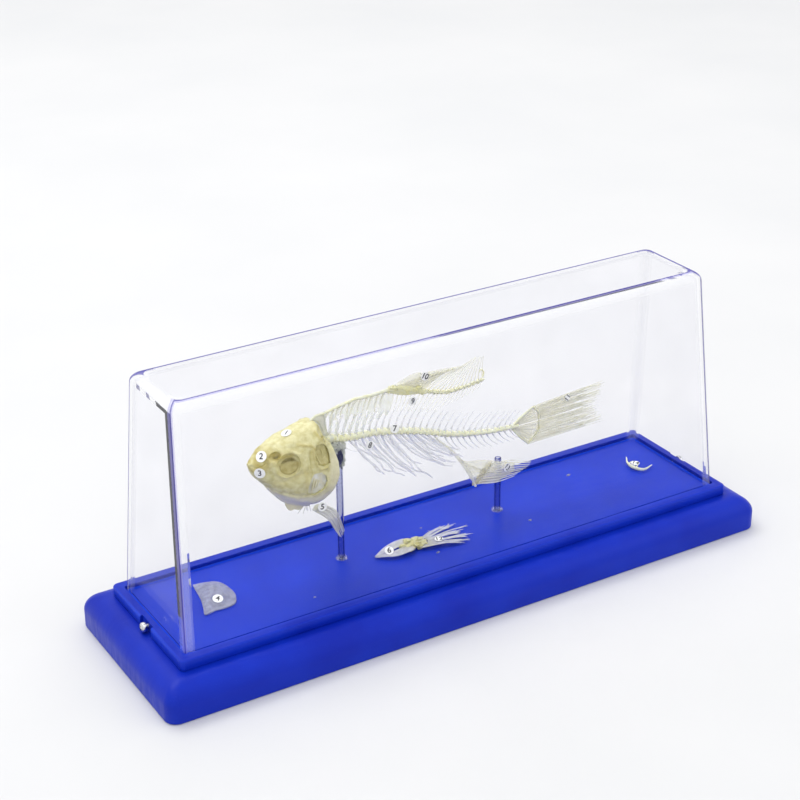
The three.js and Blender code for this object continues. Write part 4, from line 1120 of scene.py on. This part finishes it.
def dorsal_foot(u, root):
    """Where the bone below a dorsal ray ends: between two spines of the back."""
    at = 7 + 12 * u
    low, part = int(at), at - int(at)
    between = spine_tip(low, 1).lerp(spine_tip(low + 1, 1), 0.5).lerp(
        spine_tip(low + 1, 1).lerp(spine_tip(low + 2, 1), 0.5), part)
    depth = min(root.z - between.z + 1.4, mix(12.5, 4.2, u))
    return root.lerp(between, depth / (root.z - between.z))


def dorsal_fin():
    """Rays laid back over a web, on a base that is thick in front and beaded behind."""
    start, end, rays = DORSAL["start"], DORSAL["end"], DORSAL["rays"]
    build = Build()
    stain = smooth_line([(-24, 0.1), (-18, 0.55), (-10, 0.75), (-3, 0.6), (2, 0.3), (30, 0.25)])

    def ochre(v):
        return clamp(stain(v.x) * (1 + 0.9 * noise.noise(v * 0.7)))

    bulk = smooth_line([(0, 1.4), (0.05, 3.4), (0.13, 4.4), (0.24, 4.2), (0.34, 2.6), (0.45, 1.3), (1, 1.0)])
    base = [on_back(mix(start, end, t / 12), mix(0.4, -0.5, clamp(t / 5))) for t in range(13)]
    build.add(tube(base, taper(1.7, 0.7), bulk, sides=12, steps=90), tint=ochre)
    for k in range(26):
        x = mix(start + 1, -2, k / 25)
        lump = on_back(x, chance.uniform(-1.2, 1.4))
        build.add(ball(lump, (1.1, 0.9, 0.8), 12, 0.8), tint=ochre)
    for i in range(rays):
        u = i / (rays - 1)
        root = on_back(mix(start + 1.2, end - 0.6, u), mix(0.4, -0.4, clamp(u * 3)))
        tip = Vector((mix(13.5, 28.6, u), MID + chance.uniform(-0.4, 0.4),
                      ray_tip_height(u) + chance.uniform(-0.7, 0.4)))
        build.add(tube(bowed(root, tip, (-0.4, 0, 0.7 * (1 - u))), taper(0.5, 0.2),
                       taper(mix(0.9, 0.55, u), 0.22), sides=6), 1, fading(0.5, 2, root.z + 3, 3))
        foot = dorsal_foot(u, root)
        build.add(tube(bowed(root, foot, (0.4, 0, 0)), taper(0.45, 0.22), taper(mix(1.0, 0.5, u), 0.25),
                       sides=6, steps=8), 2)
        knob = (mix(1.3, 1.05, u), mix(0.95, 0.75, u), mix(1.2, 0.95, u))
        build.add(ball(root, knob, 12, 0.6), tint=ochre)
    web = [(start, 93), (-18.4, 95.2), (-13.6, 97.1), (-8.9, 98.6), (-5.6, 99), (-2.4, 98), (2, 97.7),
           (8, 97.4), (13.6, 96.8), (9, 95.6), (5, 94.2), (1.5, 92.2), (-1.5, 90.6), (-6, 91), (-10, 91.6)]
    build.add(slab(web, MID - 0.15, MID + 0.15), 2, fading(0.3, 2, 93.5, 3))
    for i in range(9):
        root = Vector((mix(-17, -2, i / 8), MID, mix(93.6, 91.4, i / 8)))
        tip = Vector((mix(-6, 13, i / 8), MID, mix(98.4, 96.4, i / 8)))
        build.add(tube(bowed(root, tip, (-0.5, 0, 0.5)), taper(0.5, 0.3), taper(0.8, 0.3), sides=6, steps=8),
                  1, 0.1)
    hook = [(28.2, MID, 88.6), (28.6, MID, 90.6), (27.4, MID, 92.4), (26.2, MID, 91.2)]
    build.add(tube(hook, taper(0.8, 0.4), taper(0.9, 0.4), sides=8, steps=14), 0, 0.3)
    return build.mesh()


def turned_anal(mesh):
    """The fin leans a little towards the fish's left."""
    there, back = Matrix.Translation((-ANAL["pivot"], 0, 0)), Matrix.Translation((ANAL["pivot"], MID, 0))
    mesh.transform(back @ Matrix.Rotation(ANAL["yaw"], 4, "Z") @ there)
    return mesh


def anal_fin():
    build = Build()
    strut = [(3.4, 0, 65.8), (7, 0, 61.8), (11.4, 0, 57.4), (16.4, 0, 50.6), (21, 0, 43.2), (24.2, 0, 36)]
    build.add(tube(strut, taper(0.7, 1.0), lambda t: mix(0.8, 2.2, t) if t < 0.9 else 1.1, sides=10,
                   steps=30), 1, 0.05)
    for k in range(5):
        a, b = Vector((15 + k * 1.4, 0, 52.4 - k * 2.1)), Vector((21.5 + 3.2 * k, 0, 45.9 - 1.4 * k))
        build.add(tube(bowed(a, b, (0.4, 0, 0.3)), taper(0.5, 0.4), taper(0.5, 0.9), sides=6, steps=6),
                  2, 0.1)
    web = [(14.6, 53.6), (17.4, 50.6), (20, 49.6), (25, 49), (31, 47.6), (37, 45.3), (44, 43), (44, 39.4),
           (39, 37), (34, 35.6), (29, 36), (25, 37.4), (22.4, 39.8), (19.6, 44.8)]
    build.add(slab(web, -0.2, 0.2), 2, 0.12)
    count = 9
    for i in range(count):
        u = i / (count - 1)
        root = Vector((mix(25.6, 32, u), 0, mix(37.2, 45.2, u)))
        reach = math.sin(u * math.pi / 2)
        tip = Vector((mix(44, 52.5, reach), chance.uniform(-0.5, 0.5), mix(36.6, 41.6, u)))
        build.add(tube(bowed(root, tip, (0, 0, mix(-1.2, 1.4, u))), taper(0.65, 0.3), taper(0.85, 0.3),
                       sides=6), 1, fading(0.4, 0, 36, 8))
        build.add(ball(root + Vector((-1.5, 0, 0.4)), (1.8, 0.45, 1.1), 14, 0.7), 2, 0.5)
        build.add(ball(root, (0.8, 0.6, 0.6), 10, 0.5), 1, 0.2)
    return turned_anal(build.mesh())


def tail_stain(most, start, span, low, scale):
    """A tint that fades towards the tips, in patches."""
    return lambda v: most * clamp((start - v.x) / span) * clamp(low + noise.noise(v * scale))


def tail_lobe(half):
    """Fused plates at the root, then a close fan of rays that fray at their tips."""
    lobe = LOBES[half]
    near = TAIL["middle"] + half * 0.17
    build = Build()
    root = Vector((TAIL["root"] - 2, MID, near + half * 0.5))
    plates = 5
    for k in range(plates):
        t = (k + 0.6) / plates
        edge = Vector((mix(58, lobe["fan"], t), MID, mix(near, lobe["edge"], t)))
        spread = abs(lobe["edge"] - near) / plates * 0.95
        build.add(tube(bowed(root, edge), taper(0.8, 0.45), taper(0.7, spread), steps=8), 1, 0.1)
    edge = Vector((lobe["fan"], MID, lobe["edge"] - half * 0.4))
    build.add(tube(bowed(root, edge, (0, 0, half * 0.4)), taper(1.1, 0.8), taper(1.5, 1.0), steps=10),
              tint=0.15)
    joint = [(58.6, MID, near + half * 0.3), (58.4, MID, mix(near, lobe["edge"], 0.5)), edge]
    build.add(tube(joint, taper(0.9, 1.1), taper(0.8, 1.2), steps=14), tint=cloudy(0.35, 0.6, 0.8))
    web = [(TAIL["root"], near), (TAIL["root"], near + half), (lobe["fan"], lobe["edge"]),
           (70, mix(lobe["edge"], lobe["tip"], 0.35)), (86, mix(lobe["edge"], lobe["tip"], 0.7)),
           (79, mix(near, lobe["tip"], 0.66)), (86, mix(near, lobe["tip"], 0.5)),
           (78, mix(near, lobe["tip"], 0.33)), (84, near + half * 1.6), (76, near + half * 0.2), (70, near)]
    build.add(slab(web, MID - 0.14, MID + 0.14), 2, tail_stain(0.5, 66, 7, 0.4, 0.5))
    for i in range(TAIL["rays"]):
        u = (i + 0.3) / TAIL["rays"]
        start = Vector((mix(58.6, lobe["fan"] + 1.4, u), MID, mix(near, lobe["edge"] - half * 0.3, u)))
        tip = Vector((mix(90, 96, u ** 0.7), MID + chance.uniform(-0.6, 0.6),
                      mix(TAIL["fork"] - half * 0.6, lobe["tip"], u) + chance.uniform(-0.3, 0.3)))
        tuft = (int(u * TAIL["tufts"]) + 0.5) / TAIL["tufts"]
        tip.z = mix(tip.z, mix(TAIL["fork"] - half * 0.6, lobe["tip"], tuft), 0.4)
        split = start.lerp(tip, chance.uniform(0.55, 0.8)) + Vector((0, 0, half * 0.3))
        build.add(tube(bowed(start, split), taper(0.5, 0.35), taper(0.5, 0.7), sides=6, steps=8), 1,
                  tail_stain(0.35, 74, 12, 0.5, 0.4))
        for way in (-0.5, 0.5):
            end = tip + Vector((chance.uniform(-3, 0), way * 0.6, way * 0.9))
            end.x = min(end.x, 96.2)
            build.add(tube(bowed(split, end, (0, 0, way * 0.2)), taper(0.4, 0.15), taper(0.45, 0.16),
                           sides=5, steps=8), 1)
    return build.mesh()


# The edges of each pectoral fin; web is how far its skin reaches along the last stretch. The right one is
# a stub.
PECTORAL = {
    -1: {"rays": 11, "web": 0.7, "fore": [(-60.8, 51.3), (-54.8, 45.6), (-50.4, 35.9)],
         "hind": [(-57, 53.4), (-51.2, 49), (-47.4, 37.4)]},
    1: {"rays": 6, "web": 0.2, "fore": [(-60.2, 52), (-58.4, 46.5), (-61, 42.3)],
        "hind": [(-57.4, 52.4), (-55.6, 46), (-54, 40.8)]},
}


def pectoral_fin(side):
    """Folded rays that hang from the shoulder, over a web of dried skin."""
    fin = PECTORAL[side]
    build = Build()
    for i in range(fin["rays"]):
        u = i / (fin["rays"] - 1)
        line = []
        for k, ((ax, az), (bx, bz)) in enumerate(zip(fin["fore"], fin["hind"])):
            spread = 0.8 * k + 0.35 * math.sin(i * 2.1)
            line.append(Vector((mix(ax, bx, u), MID + side * (7.2 + spread), mix(az, bz, u))))
        line[2] = line[2] + Vector((0.4 * chance.uniform(-1, 1), 0, chance.uniform(-0.6, 1.4)))
        build.add(tube(line, taper(0.5, 0.2), taper(0.6, 0.25), sides=6), 1, fading(-0.3, 2, 52, 3))

    def skin_edge(line):
        (ax, az), (bx, bz) = line[1:]
        return [*line[:2], (mix(ax, bx, fin["web"]), mix(az, bz, fin["web"]))]

    web = [*skin_edge(fin["fore"]), *skin_edge(fin["hind"])[::-1]]
    last = len(web) - 1
    rings = [[(x, MID + side * (7.2 + 0.8 * min(k, last - k)) + edge, z) for k, (x, z) in enumerate(web)]
             for edge in (-0.12, 0.12)]
    build.add(loft(rings), 2, -0.9)
    root = Vector(((fin["fore"][0][0] + fin["hind"][0][0]) / 2, MID + side * 7.2,
                   (fin["fore"][0][1] + fin["hind"][0][1]) / 2))
    build.add(ball(root, (2.6, 0.8, 1.6), 20, 0.4), 0, -0.4)
    return build.mesh()


FIN = [VERTEBRA, RAY, WEB]
piece("nape_bones", nape(), [VERTEBRA, SHEET, RAY], ["nape"])
for name, make, node in (("dorsal_rays", dorsal_fin, "dorsal_fin"), ("anal_rays", anal_fin, "anal_fin")):
    piece(name, make(), FIN, [node])
for half, place in ((1, "upper"), (-1, "lower")):
    piece(f"tail_rays_{place}", tail_lobe(half), FIN, [f"tail_fin_{place}"])
for side, place in ((-1, "left"), (1, "right")):
    piece(f"pectoral_rays_{place}", pectoral_fin(side), FIN, [f"pectoral_fin_{place}"])


# ---- rods and glue --------------------------------------------------------------------------

front_top = spine_line(ROD["front"]) - SPINE["rim"] - GAP
piece("rod_front_clear", rod(ROD["front"], front_top), [ROD_CLEAR], ["rod_front"])
piece("rod_rear_clear", rod(ROD["rear"], ROD["rear_top"]), [ROD_CLEAR], ["rod_rear"])
piece("glue_ring_front", glue_foot(ROD["front"]), [BEAD])
piece("glue_ring_rear", glue_foot(ROD["rear"]), [BEAD])


def glue_mass():
    """The glue that holds the spine and shoulder to the front rod, with a pocket in it whose dark blue is
    painted refraction.
    """
    build = Build()
    x, top = ROD["front"], spine_line(ROD["front"])
    lumps = [((x - 1.4, MID - 0.4, top - 3.0), (2.6, 2.4, 1.9)),
             ((x + 1.7, MID + 0.2, top - 4.2), (1.5, 1.8, 2.2)),
             ((x + 1.5, MID, top - 8.6), (1.3, 1.7, 3.4)),
             ((x - 3.8, MID - 0.5, top - 2.4), (2.2, 2.0, 1.5)),
             ((x + 1.2, MID, top - 12.6), (1.0, 1.4, 1.8)),
             ((x - 1.6, MID - 0.2, top - 5.4), (1.5, 1.6, 1.6))]
    for centre, radii in lumps:
        build.add(ball(centre, radii, 28, 0.7), 0)
    # The pocket: a dark blue lump, painted for the dark that the clear glue shows by refraction.
    build.add(ball((x - 0.4, MID - 0.9, top - 8.4), (1.7, 1.5, 3.0), 28, 0.6), 1)
    return build.mesh()


piece("glue_mass", glue_mass(), [GLUE, GLUE_POCKET_PAINTED_DARK])


# ---- loose bones on the tray floor ----------------------------------------------------------

def loose_gill_cover():
    """The left gill cover: a thin shallow dome with growth lines and a ragged outline."""
    outline = [(-109.6, 17.2), (-103.4, 16.2), (-99.3, 13.8), (-97.6, 8.9), (-97.3, 2.5), (-98.5, -1.8),
               (-100.8, -5.3), (-105.4, -6.3), (-110.3, -6), (-115.2, -6.6), (-113.6, -1.5), (-111.6, 5.3)]
    centre = (-105, 5)
    count, rows = 96, 22
    corner = [Vector((x, y, 0)) for x, y in outline]
    edge, _ = curve_points([*corner, corner[0]], count)
    edge = edge[:count]
    low = FLOOR + GAP
    upper, lower = [], []
    for row in range(1, rows + 1):
        t = row / rows
        ring_up, ring_low = [], []
        for k, p in enumerate(edge):
            x, y = mix(centre[0], p.x, t), mix(centre[1], p.y, t)
            fall = clamp(1 - ((x - centre[0]) ** 2 + (y - centre[1]) ** 2) / 420)
            height = low + 2.9 * (1 - t ** 1.7) * fall + 0.55
            growth = 0.06 * math.sin(t * 34 + 0.6 * math.sin(k * 0.13))
            height += growth + 0.12 * noise.noise(Vector((x, y, 0)) * 0.5)
            ring_up.append((x, y, height))
            ring_low.append((x, y, max(height - 0.5, low)))
        upper.append(ring_up)
        lower.append(ring_low)
    return mesh_of(loft([*upper, *reversed(lower)]))


def pelvic_bones():
    """Two hip plates side by side, with knobs where their fins join."""
    low = FLOOR + GAP
    build = Build()
    for side in (-1, 1):
        line = [(-32.4, -4.4 + side * 0.2, low + 0.8), (-28, -4.6 + side * 1.6, low + 1.3),
                (-24, -4.8 + side * 2.8, low + 1.6), (-19.6, -4.6 + side * 3.2, low + 2.0),
                (-15.5, -4.4 + side * 3.2, low + 2.2)]
        build.add(tube(line, lambda t: mix(0.7, 5.0, math.sin(t * 2.2)), taper(0.5, 1.1), sides=14, steps=24),
                  1, lambda v: 0.75 * clamp((v.x + 24) / 6) * clamp(1 - abs(v.y + 4.4) / 6))
        build.add(tube(line, taper(0.6, 1.1), taper(0.7, 1.2), steps=20), 1, fading(0.6, 0, -20, -4))
    for x, y, r in ((-15.8, -6.6, 1.9), (-15.2, -2.4, 2.0), (-18.4, -4.4, 1.5), (-13.4, -4.6, 1.7)):
        knob = ball((x, y, low + r * 0.9), (r * 1.2, r, r * 0.85), 18, 0.5)
        build.add(knob, tint=cloudy(0.55, 0.5, 1))
    return build.mesh()


# (root, tip, width) of each flat ray, and (x, y, size) of each knob, seen from above.
STRIPS = {
    "left": [((-6.4, -5), (13.6, -3.6), 1.9), ((-6.6, -5.8), (12.4, -5.6), 1.5),
             ((-7.4, -6.6), (15.9, -8.1), 1.5), ((-8.6, -7.4), (13.9, -10.1), 1.6),
             ((-9.6, -8), (10.5, -11.6), 1.2), ((-10.4, -8.6), (13, -13), 1.0),
             ((-11.6, -9), (8.8, -13.4), 1.4)],
    "right": [((-8.5, -2.6), (2.4, 3.3), 0.7), ((-7.6, -2.8), (9, 3.4), 1.7),
              ((-6.8, -3.2), (13.7, 3.6), 1.5), ((-6.2, -3.8), (12.2, 1.6), 1.2),
              ((-5.8, -4.2), (18.5, -1.7), 0.8)],
}
KNOBS = {"left": [(-11.4, -6.6, 1.9), (-9.2, -6.2, 1.7)], "right": [(-11.2, -2.6, 1.8), (-9, -3, 1.7)]}


def pelvic_fin(side):
    """Flat rays splayed over the tray floor, each frayed at its tip."""
    low = FLOOR + GAP
    build = Build()
    for i, (root, tip, width) in enumerate(STRIPS[side]):
        start, end = Vector((*root, low + 1.5)), Vector((*tip, low + 0.35 + 0.25 * (i % 2)))
        bow = start.lerp(end, 0.5) + Vector((0, 0, 0.5 + 0.4 * math.sin(i * 2.3)))
        neck = bow.lerp(end, 0.55)
        build.add(tube([start, bow, neck], taper(width * 0.7, width), taper(0.6, 0.3)), 1,
                  fading(0.35, 0, -3, 4))
        for k in range(3):
            way = (k - 1) * width * 0.4
            fray = end + Vector((chance.uniform(-3.5, 0), way * 1.3, 0.1 * k))
            build.add(tube([neck + Vector((-0.6, way * 0.6, 0)), neck.lerp(fray, 0.5), fray],
                           taper(width * 0.42, 0.15), taper(0.3, 0.15), sides=6, steps=6), 1)
    for x, y, size in KNOBS[side]:
        knob = ball((x, y, low + size * 0.85), (size * 1.2, size, size * 0.8), 18, 0.6)
        build.add(knob, tint=cloudy(0.6, 0.6, 0.7))
    return build.mesh()


def throat_tooth_bone():
    """A small sickle with a short prong and three teeth."""
    z = FLOOR + GAP + 0.9
    build = Build()
    line = [(117.3, 12.6, z), (114.2, 7.6, z), (113.4, 2, z + 0.3), (116.6, -1.8, z), (122.6, -0.2, z)]
    build.add(tube(line, swell(0.5, 1.1), swell(0.5, 0.7), (0, 0, 1), 12, 32), tint=fading(0.25, 1, 0, -8))
    for i in range(4):
        root = Vector((113.6, 6 - i * 1.6, z))
        tooth = [root, root + Vector((1.5, 0.5, 0.5)), root + Vector((2.9, 0.4 + 0.3 * i, 0.9))]
        build.add(tube(tooth, taper(1.0, 0.35), taper(1.0, 0.3), (0, 0, 1), steps=8), tint=0.3)
    return build.mesh()


piece("gill_cover_loose", loose_gill_cover(), [LOOSE], ["opercle_left"])
piece("hip_bones", pelvic_bones(), [KNOT, HIP], ["pelvic_bones"])
for place in ("left", "right"):
    piece(f"hip_rays_{place}", pelvic_fin(place), [KNOT, HIP], [f"pelvic_fin_{place}"])
piece("throat_teeth", throat_tooth_bone(), [VERTEBRA], ["pharyngeal_bone"])


def crumbs():
    """Small chips of bone and glue on the tray floor, at listed places."""
    build = Build()
    for x, y in ((-118, 11), (-6.5, -14.2), (-1.4, 8.3), (44, -12), (-70, -18), (84, 14)):
        size = chance.uniform(0.35, 0.7)
        build.add(ball((x, y, FLOOR + size * 0.5), (size * 1.5, size, size * 0.6), 10, 0.8))
    return build.mesh()


piece("floor_crumbs", crumbs(), [LOOSE])


# ---- camera ---------------------------------------------------------------------------------

PHOTO = 800          # width and height of the photograph, in pixels
FOCAL = 1794.6       # focal length in those pixels
SENSOR = 36
CAMERA = {"place": (-0.368757, -0.589272, 0.417239), "azimuth": -30.88, "elevation": 25.47, "roll": -0.63}


def make_camera():
    a, e, r = (math.radians(CAMERA[key]) for key in ("azimuth", "elevation", "roll"))
    back = Vector((math.sin(a) * math.cos(e), -math.cos(a) * math.cos(e), math.sin(e)))
    right = (-back).cross(Vector((0, 0, 1))).normalized()
    up = right.cross(-back)
    turned = right * math.cos(r) + up * math.sin(r)
    upright = up * math.cos(r) - right * math.sin(r)
    data = bpy.data.cameras.new("camera")
    data.sensor_width = SENSOR
    data.lens = FOCAL * SENSOR / PHOTO
    data.clip_start, data.clip_end = 0.01, 50
    camera = bpy.data.objects.new("camera", data)
    turn = Matrix((turned, upright, back)).transposed().to_4x4()
    camera.matrix_world = Matrix.Translation(CAMERA["place"]) @ turn
    bpy.context.collection.objects.link(camera)
    bpy.context.scene.camera = camera
    return camera


CAMERA_OBJECT = make_camera()


# ---- numbered labels ------------------------------------------------------------------------

# For each number: its pixel in the photograph, the piece that carries it, and the way it faces.
# Where no way is given, it lies flat on that piece.
LABELS = {
    1: ((286, 433), "neurocranium_bone", None),
    2: ((261, 456.5), "jaw_upper_bone", None),
    3: ((259.5, 473), "jaw_lower_bone", None),
    4: ((217.5, 598.5), "gill_cover_loose", None),
    5: ((322, 506.5), "pectoral_rays_left", (-0.1, -1, 0.1)),
    6: ((388.8, 550.4), "hip_bones", (-0.2, -0.5, 0.8)),
    7: ((394.3, 428.4), "trunk_vertebrae", (-0.3, -0.9, 0.3)),
    8: ((369.5, 445), "rib_row_left", (0.1, -1, 0)),
    9: ((412.2, 401), "dorsal_rays", (0, -1, 0)),
    10: ((424.5, 376), "dorsal_rays", (0, -1, 0)),
    11: ((567, 397.5), "tail_rays_upper", (0.2, -0.95, 0.2)),
    12: ((438.6, 538.8), "hip_rays_left", (0, 0, 1)),
    13: ((506.5, 467), "anal_rays", (0.2, -1, 0)),
    14: ((635, 463), "throat_teeth", (0, 0, 1)),
}
# The turn of a disc in its own plane, in degrees, and the radii of the larger and smaller ones.
TURNS = {1: -6, 4: -12, 6: 8, 8: -6, 10: -14, 11: 62, 12: 8, 13: -38, 14: -20}
SIZES = {1: 2.2, 2: 2.35, 3: 2.3, 4: 2.2, 5: 2.0, 11: 1.5}


def sight(pixel):
    """Start and direction of the line of sight through a pixel of the photograph."""
    u, v = (pixel[0] - PHOTO / 2) / FOCAL, -(pixel[1] - PHOTO / 2) / FOCAL
    turn = CAMERA_OBJECT.matrix_world
    return turn.translation.copy(), (turn.to_3x3() @ Vector((u, v, -1))).normalized()


def carried_place(pixel, carrier, facing, reach):
    """Where a disc of that reach just clears its carrier under a pixel, and its normal, in metres."""
    start, way = sight(pixel)
    rays = [pixel]
    for ring in (0.35, 0.7, 1):
        for k in range(12):
            angle, out = TURN * k / 12, reach * ring
            rays.append((pixel[0] + out * math.cos(angle), pixel[1] + out * math.sin(angle)))
    hits = [hit for hit in (carrier.ray_cast(start, sight(ray)[1]) for ray in rays) if hit[0]]
    normal = (Vector(facing) if facing else sum((hit[2] for hit in hits), Vector())).normalized()
    front = max(hit[1].dot(normal) for hit in hits)
    return start + way * ((front - start.dot(normal)) / way.dot(normal)), normal


def disc(number, place, normal):
    """A round paper label with its numeral upright, laid on a place."""
    upward = CAMERA_OBJECT.matrix_world.to_3x3() @ Vector((0, 1, 0))
    upward = (upward - normal * upward.dot(normal)).normalized()
    upward = Matrix.Rotation(math.radians(TURNS.get(number, 0)), 3, normal) @ upward
    across = upward.cross(normal).normalized()
    turn = Matrix((across, upward, normal)).transposed().to_4x4()
    stand = Matrix.Translation(place + normal * LABEL["clear"] * MM) @ turn
    to_metres, to_millimetres = Matrix.Scale(MM, 4), Matrix.Scale(1 / MM, 4)
    thick, radius = LABEL["thick"], SIZES.get(number, LABEL["radius"])
    profile = [(0.02, 0), (radius, 0), (radius + 0.04, thick / 2), (radius, thick), (0.02, thick)]
    plate = mesh_of(lathe(profile, (0, 0, 0), 48))
    plate.transform(to_millimetres @ stand @ to_metres)
    piece(f"label_{number}", plate, [PAPER])
    letters = bpy.data.curves.new(f"numeral_{number}", "FONT")
    letters.body, letters.size = str(number), LABEL["numeral"]
    letters.extrude, letters.offset = LABEL["ink"], LABEL["bold"]
    letters.align_x, letters.align_y = "CENTER", "CENTER"
    holder = bpy.data.objects.new("letters", letters)
    bpy.context.collection.objects.link(holder)
    graph = bpy.context.evaluated_depsgraph_get()
    shape = bpy.data.meshes.new_from_object(holder.evaluated_get(graph))
    bpy.data.objects.remove(holder)
    raised = Matrix.Translation((0, 0, (thick + 0.02) * MM))
    shape.transform(to_millimetres @ stand @ raised @ to_metres)
    piece(f"numeral_{number}", shape, [INK])


def add_labels():
    bpy.context.view_layer.update()
    for number, (pixel, carrier, facing) in LABELS.items():
        place, normal = carried_place(pixel, bpy.data.objects[carrier], facing, LABEL["pixels"])
        disc(number, place, normal)


add_labels()


# ---- floor and light ------------------------------------------------------------------------

def stage_floor():
    half = 6.0
    mesh = bpy.data.meshes.new("floor")
    corners = [(-half, -half, 0), (half, -half, 0), (half, half, 0), (-half, half, 0)]
    mesh.from_pydata(corners, [], [(0, 1, 2, 3)])
    mesh.materials.append(FLOOR_PAINT)
    floor = bpy.data.objects.new("floor", mesh)
    bpy.context.collection.objects.link(floor)


def lamp(name, place, target, size, power, colour=(1, 1, 1)):
    data = bpy.data.lights.new(name, "AREA")
    data.shape, data.size, data.size_y = "RECTANGLE", size[0], size[1]
    data.energy, data.color = power, colour
    holder = bpy.data.objects.new(name, data)
    holder.location = place
    holder.rotation_euler = (Vector(target) - Vector(place)).to_track_quat("-Z", "Y").to_euler()
    bpy.context.collection.objects.link(holder)


def sky():
    world = bpy.data.worlds.new("studio")
    world.use_nodes = True
    shade = world.node_tree.nodes["Background"]
    shade.inputs["Color"].default_value = (0.97, 0.98, 1.0, 1)
    shade.inputs["Strength"].default_value = 1.06
    bpy.context.scene.world = world


bpy.context.scene.view_settings.view_transform = "Standard"
stage_floor()
sky()
lamp("back", (-0.25, 0.75, 1.5), (0, 0, 0.05), (1.3, 0.7), 9)
lamp("key", (-0.6, -0.5, 1.6), (0, 0, 0.05), (1.4, 1.0), 3.2)
lamp("fill", (1.2, -0.9, 0.9), (0, 0, 0.05), (1.0, 1.0), 2, (0.96, 0.97, 1.0))
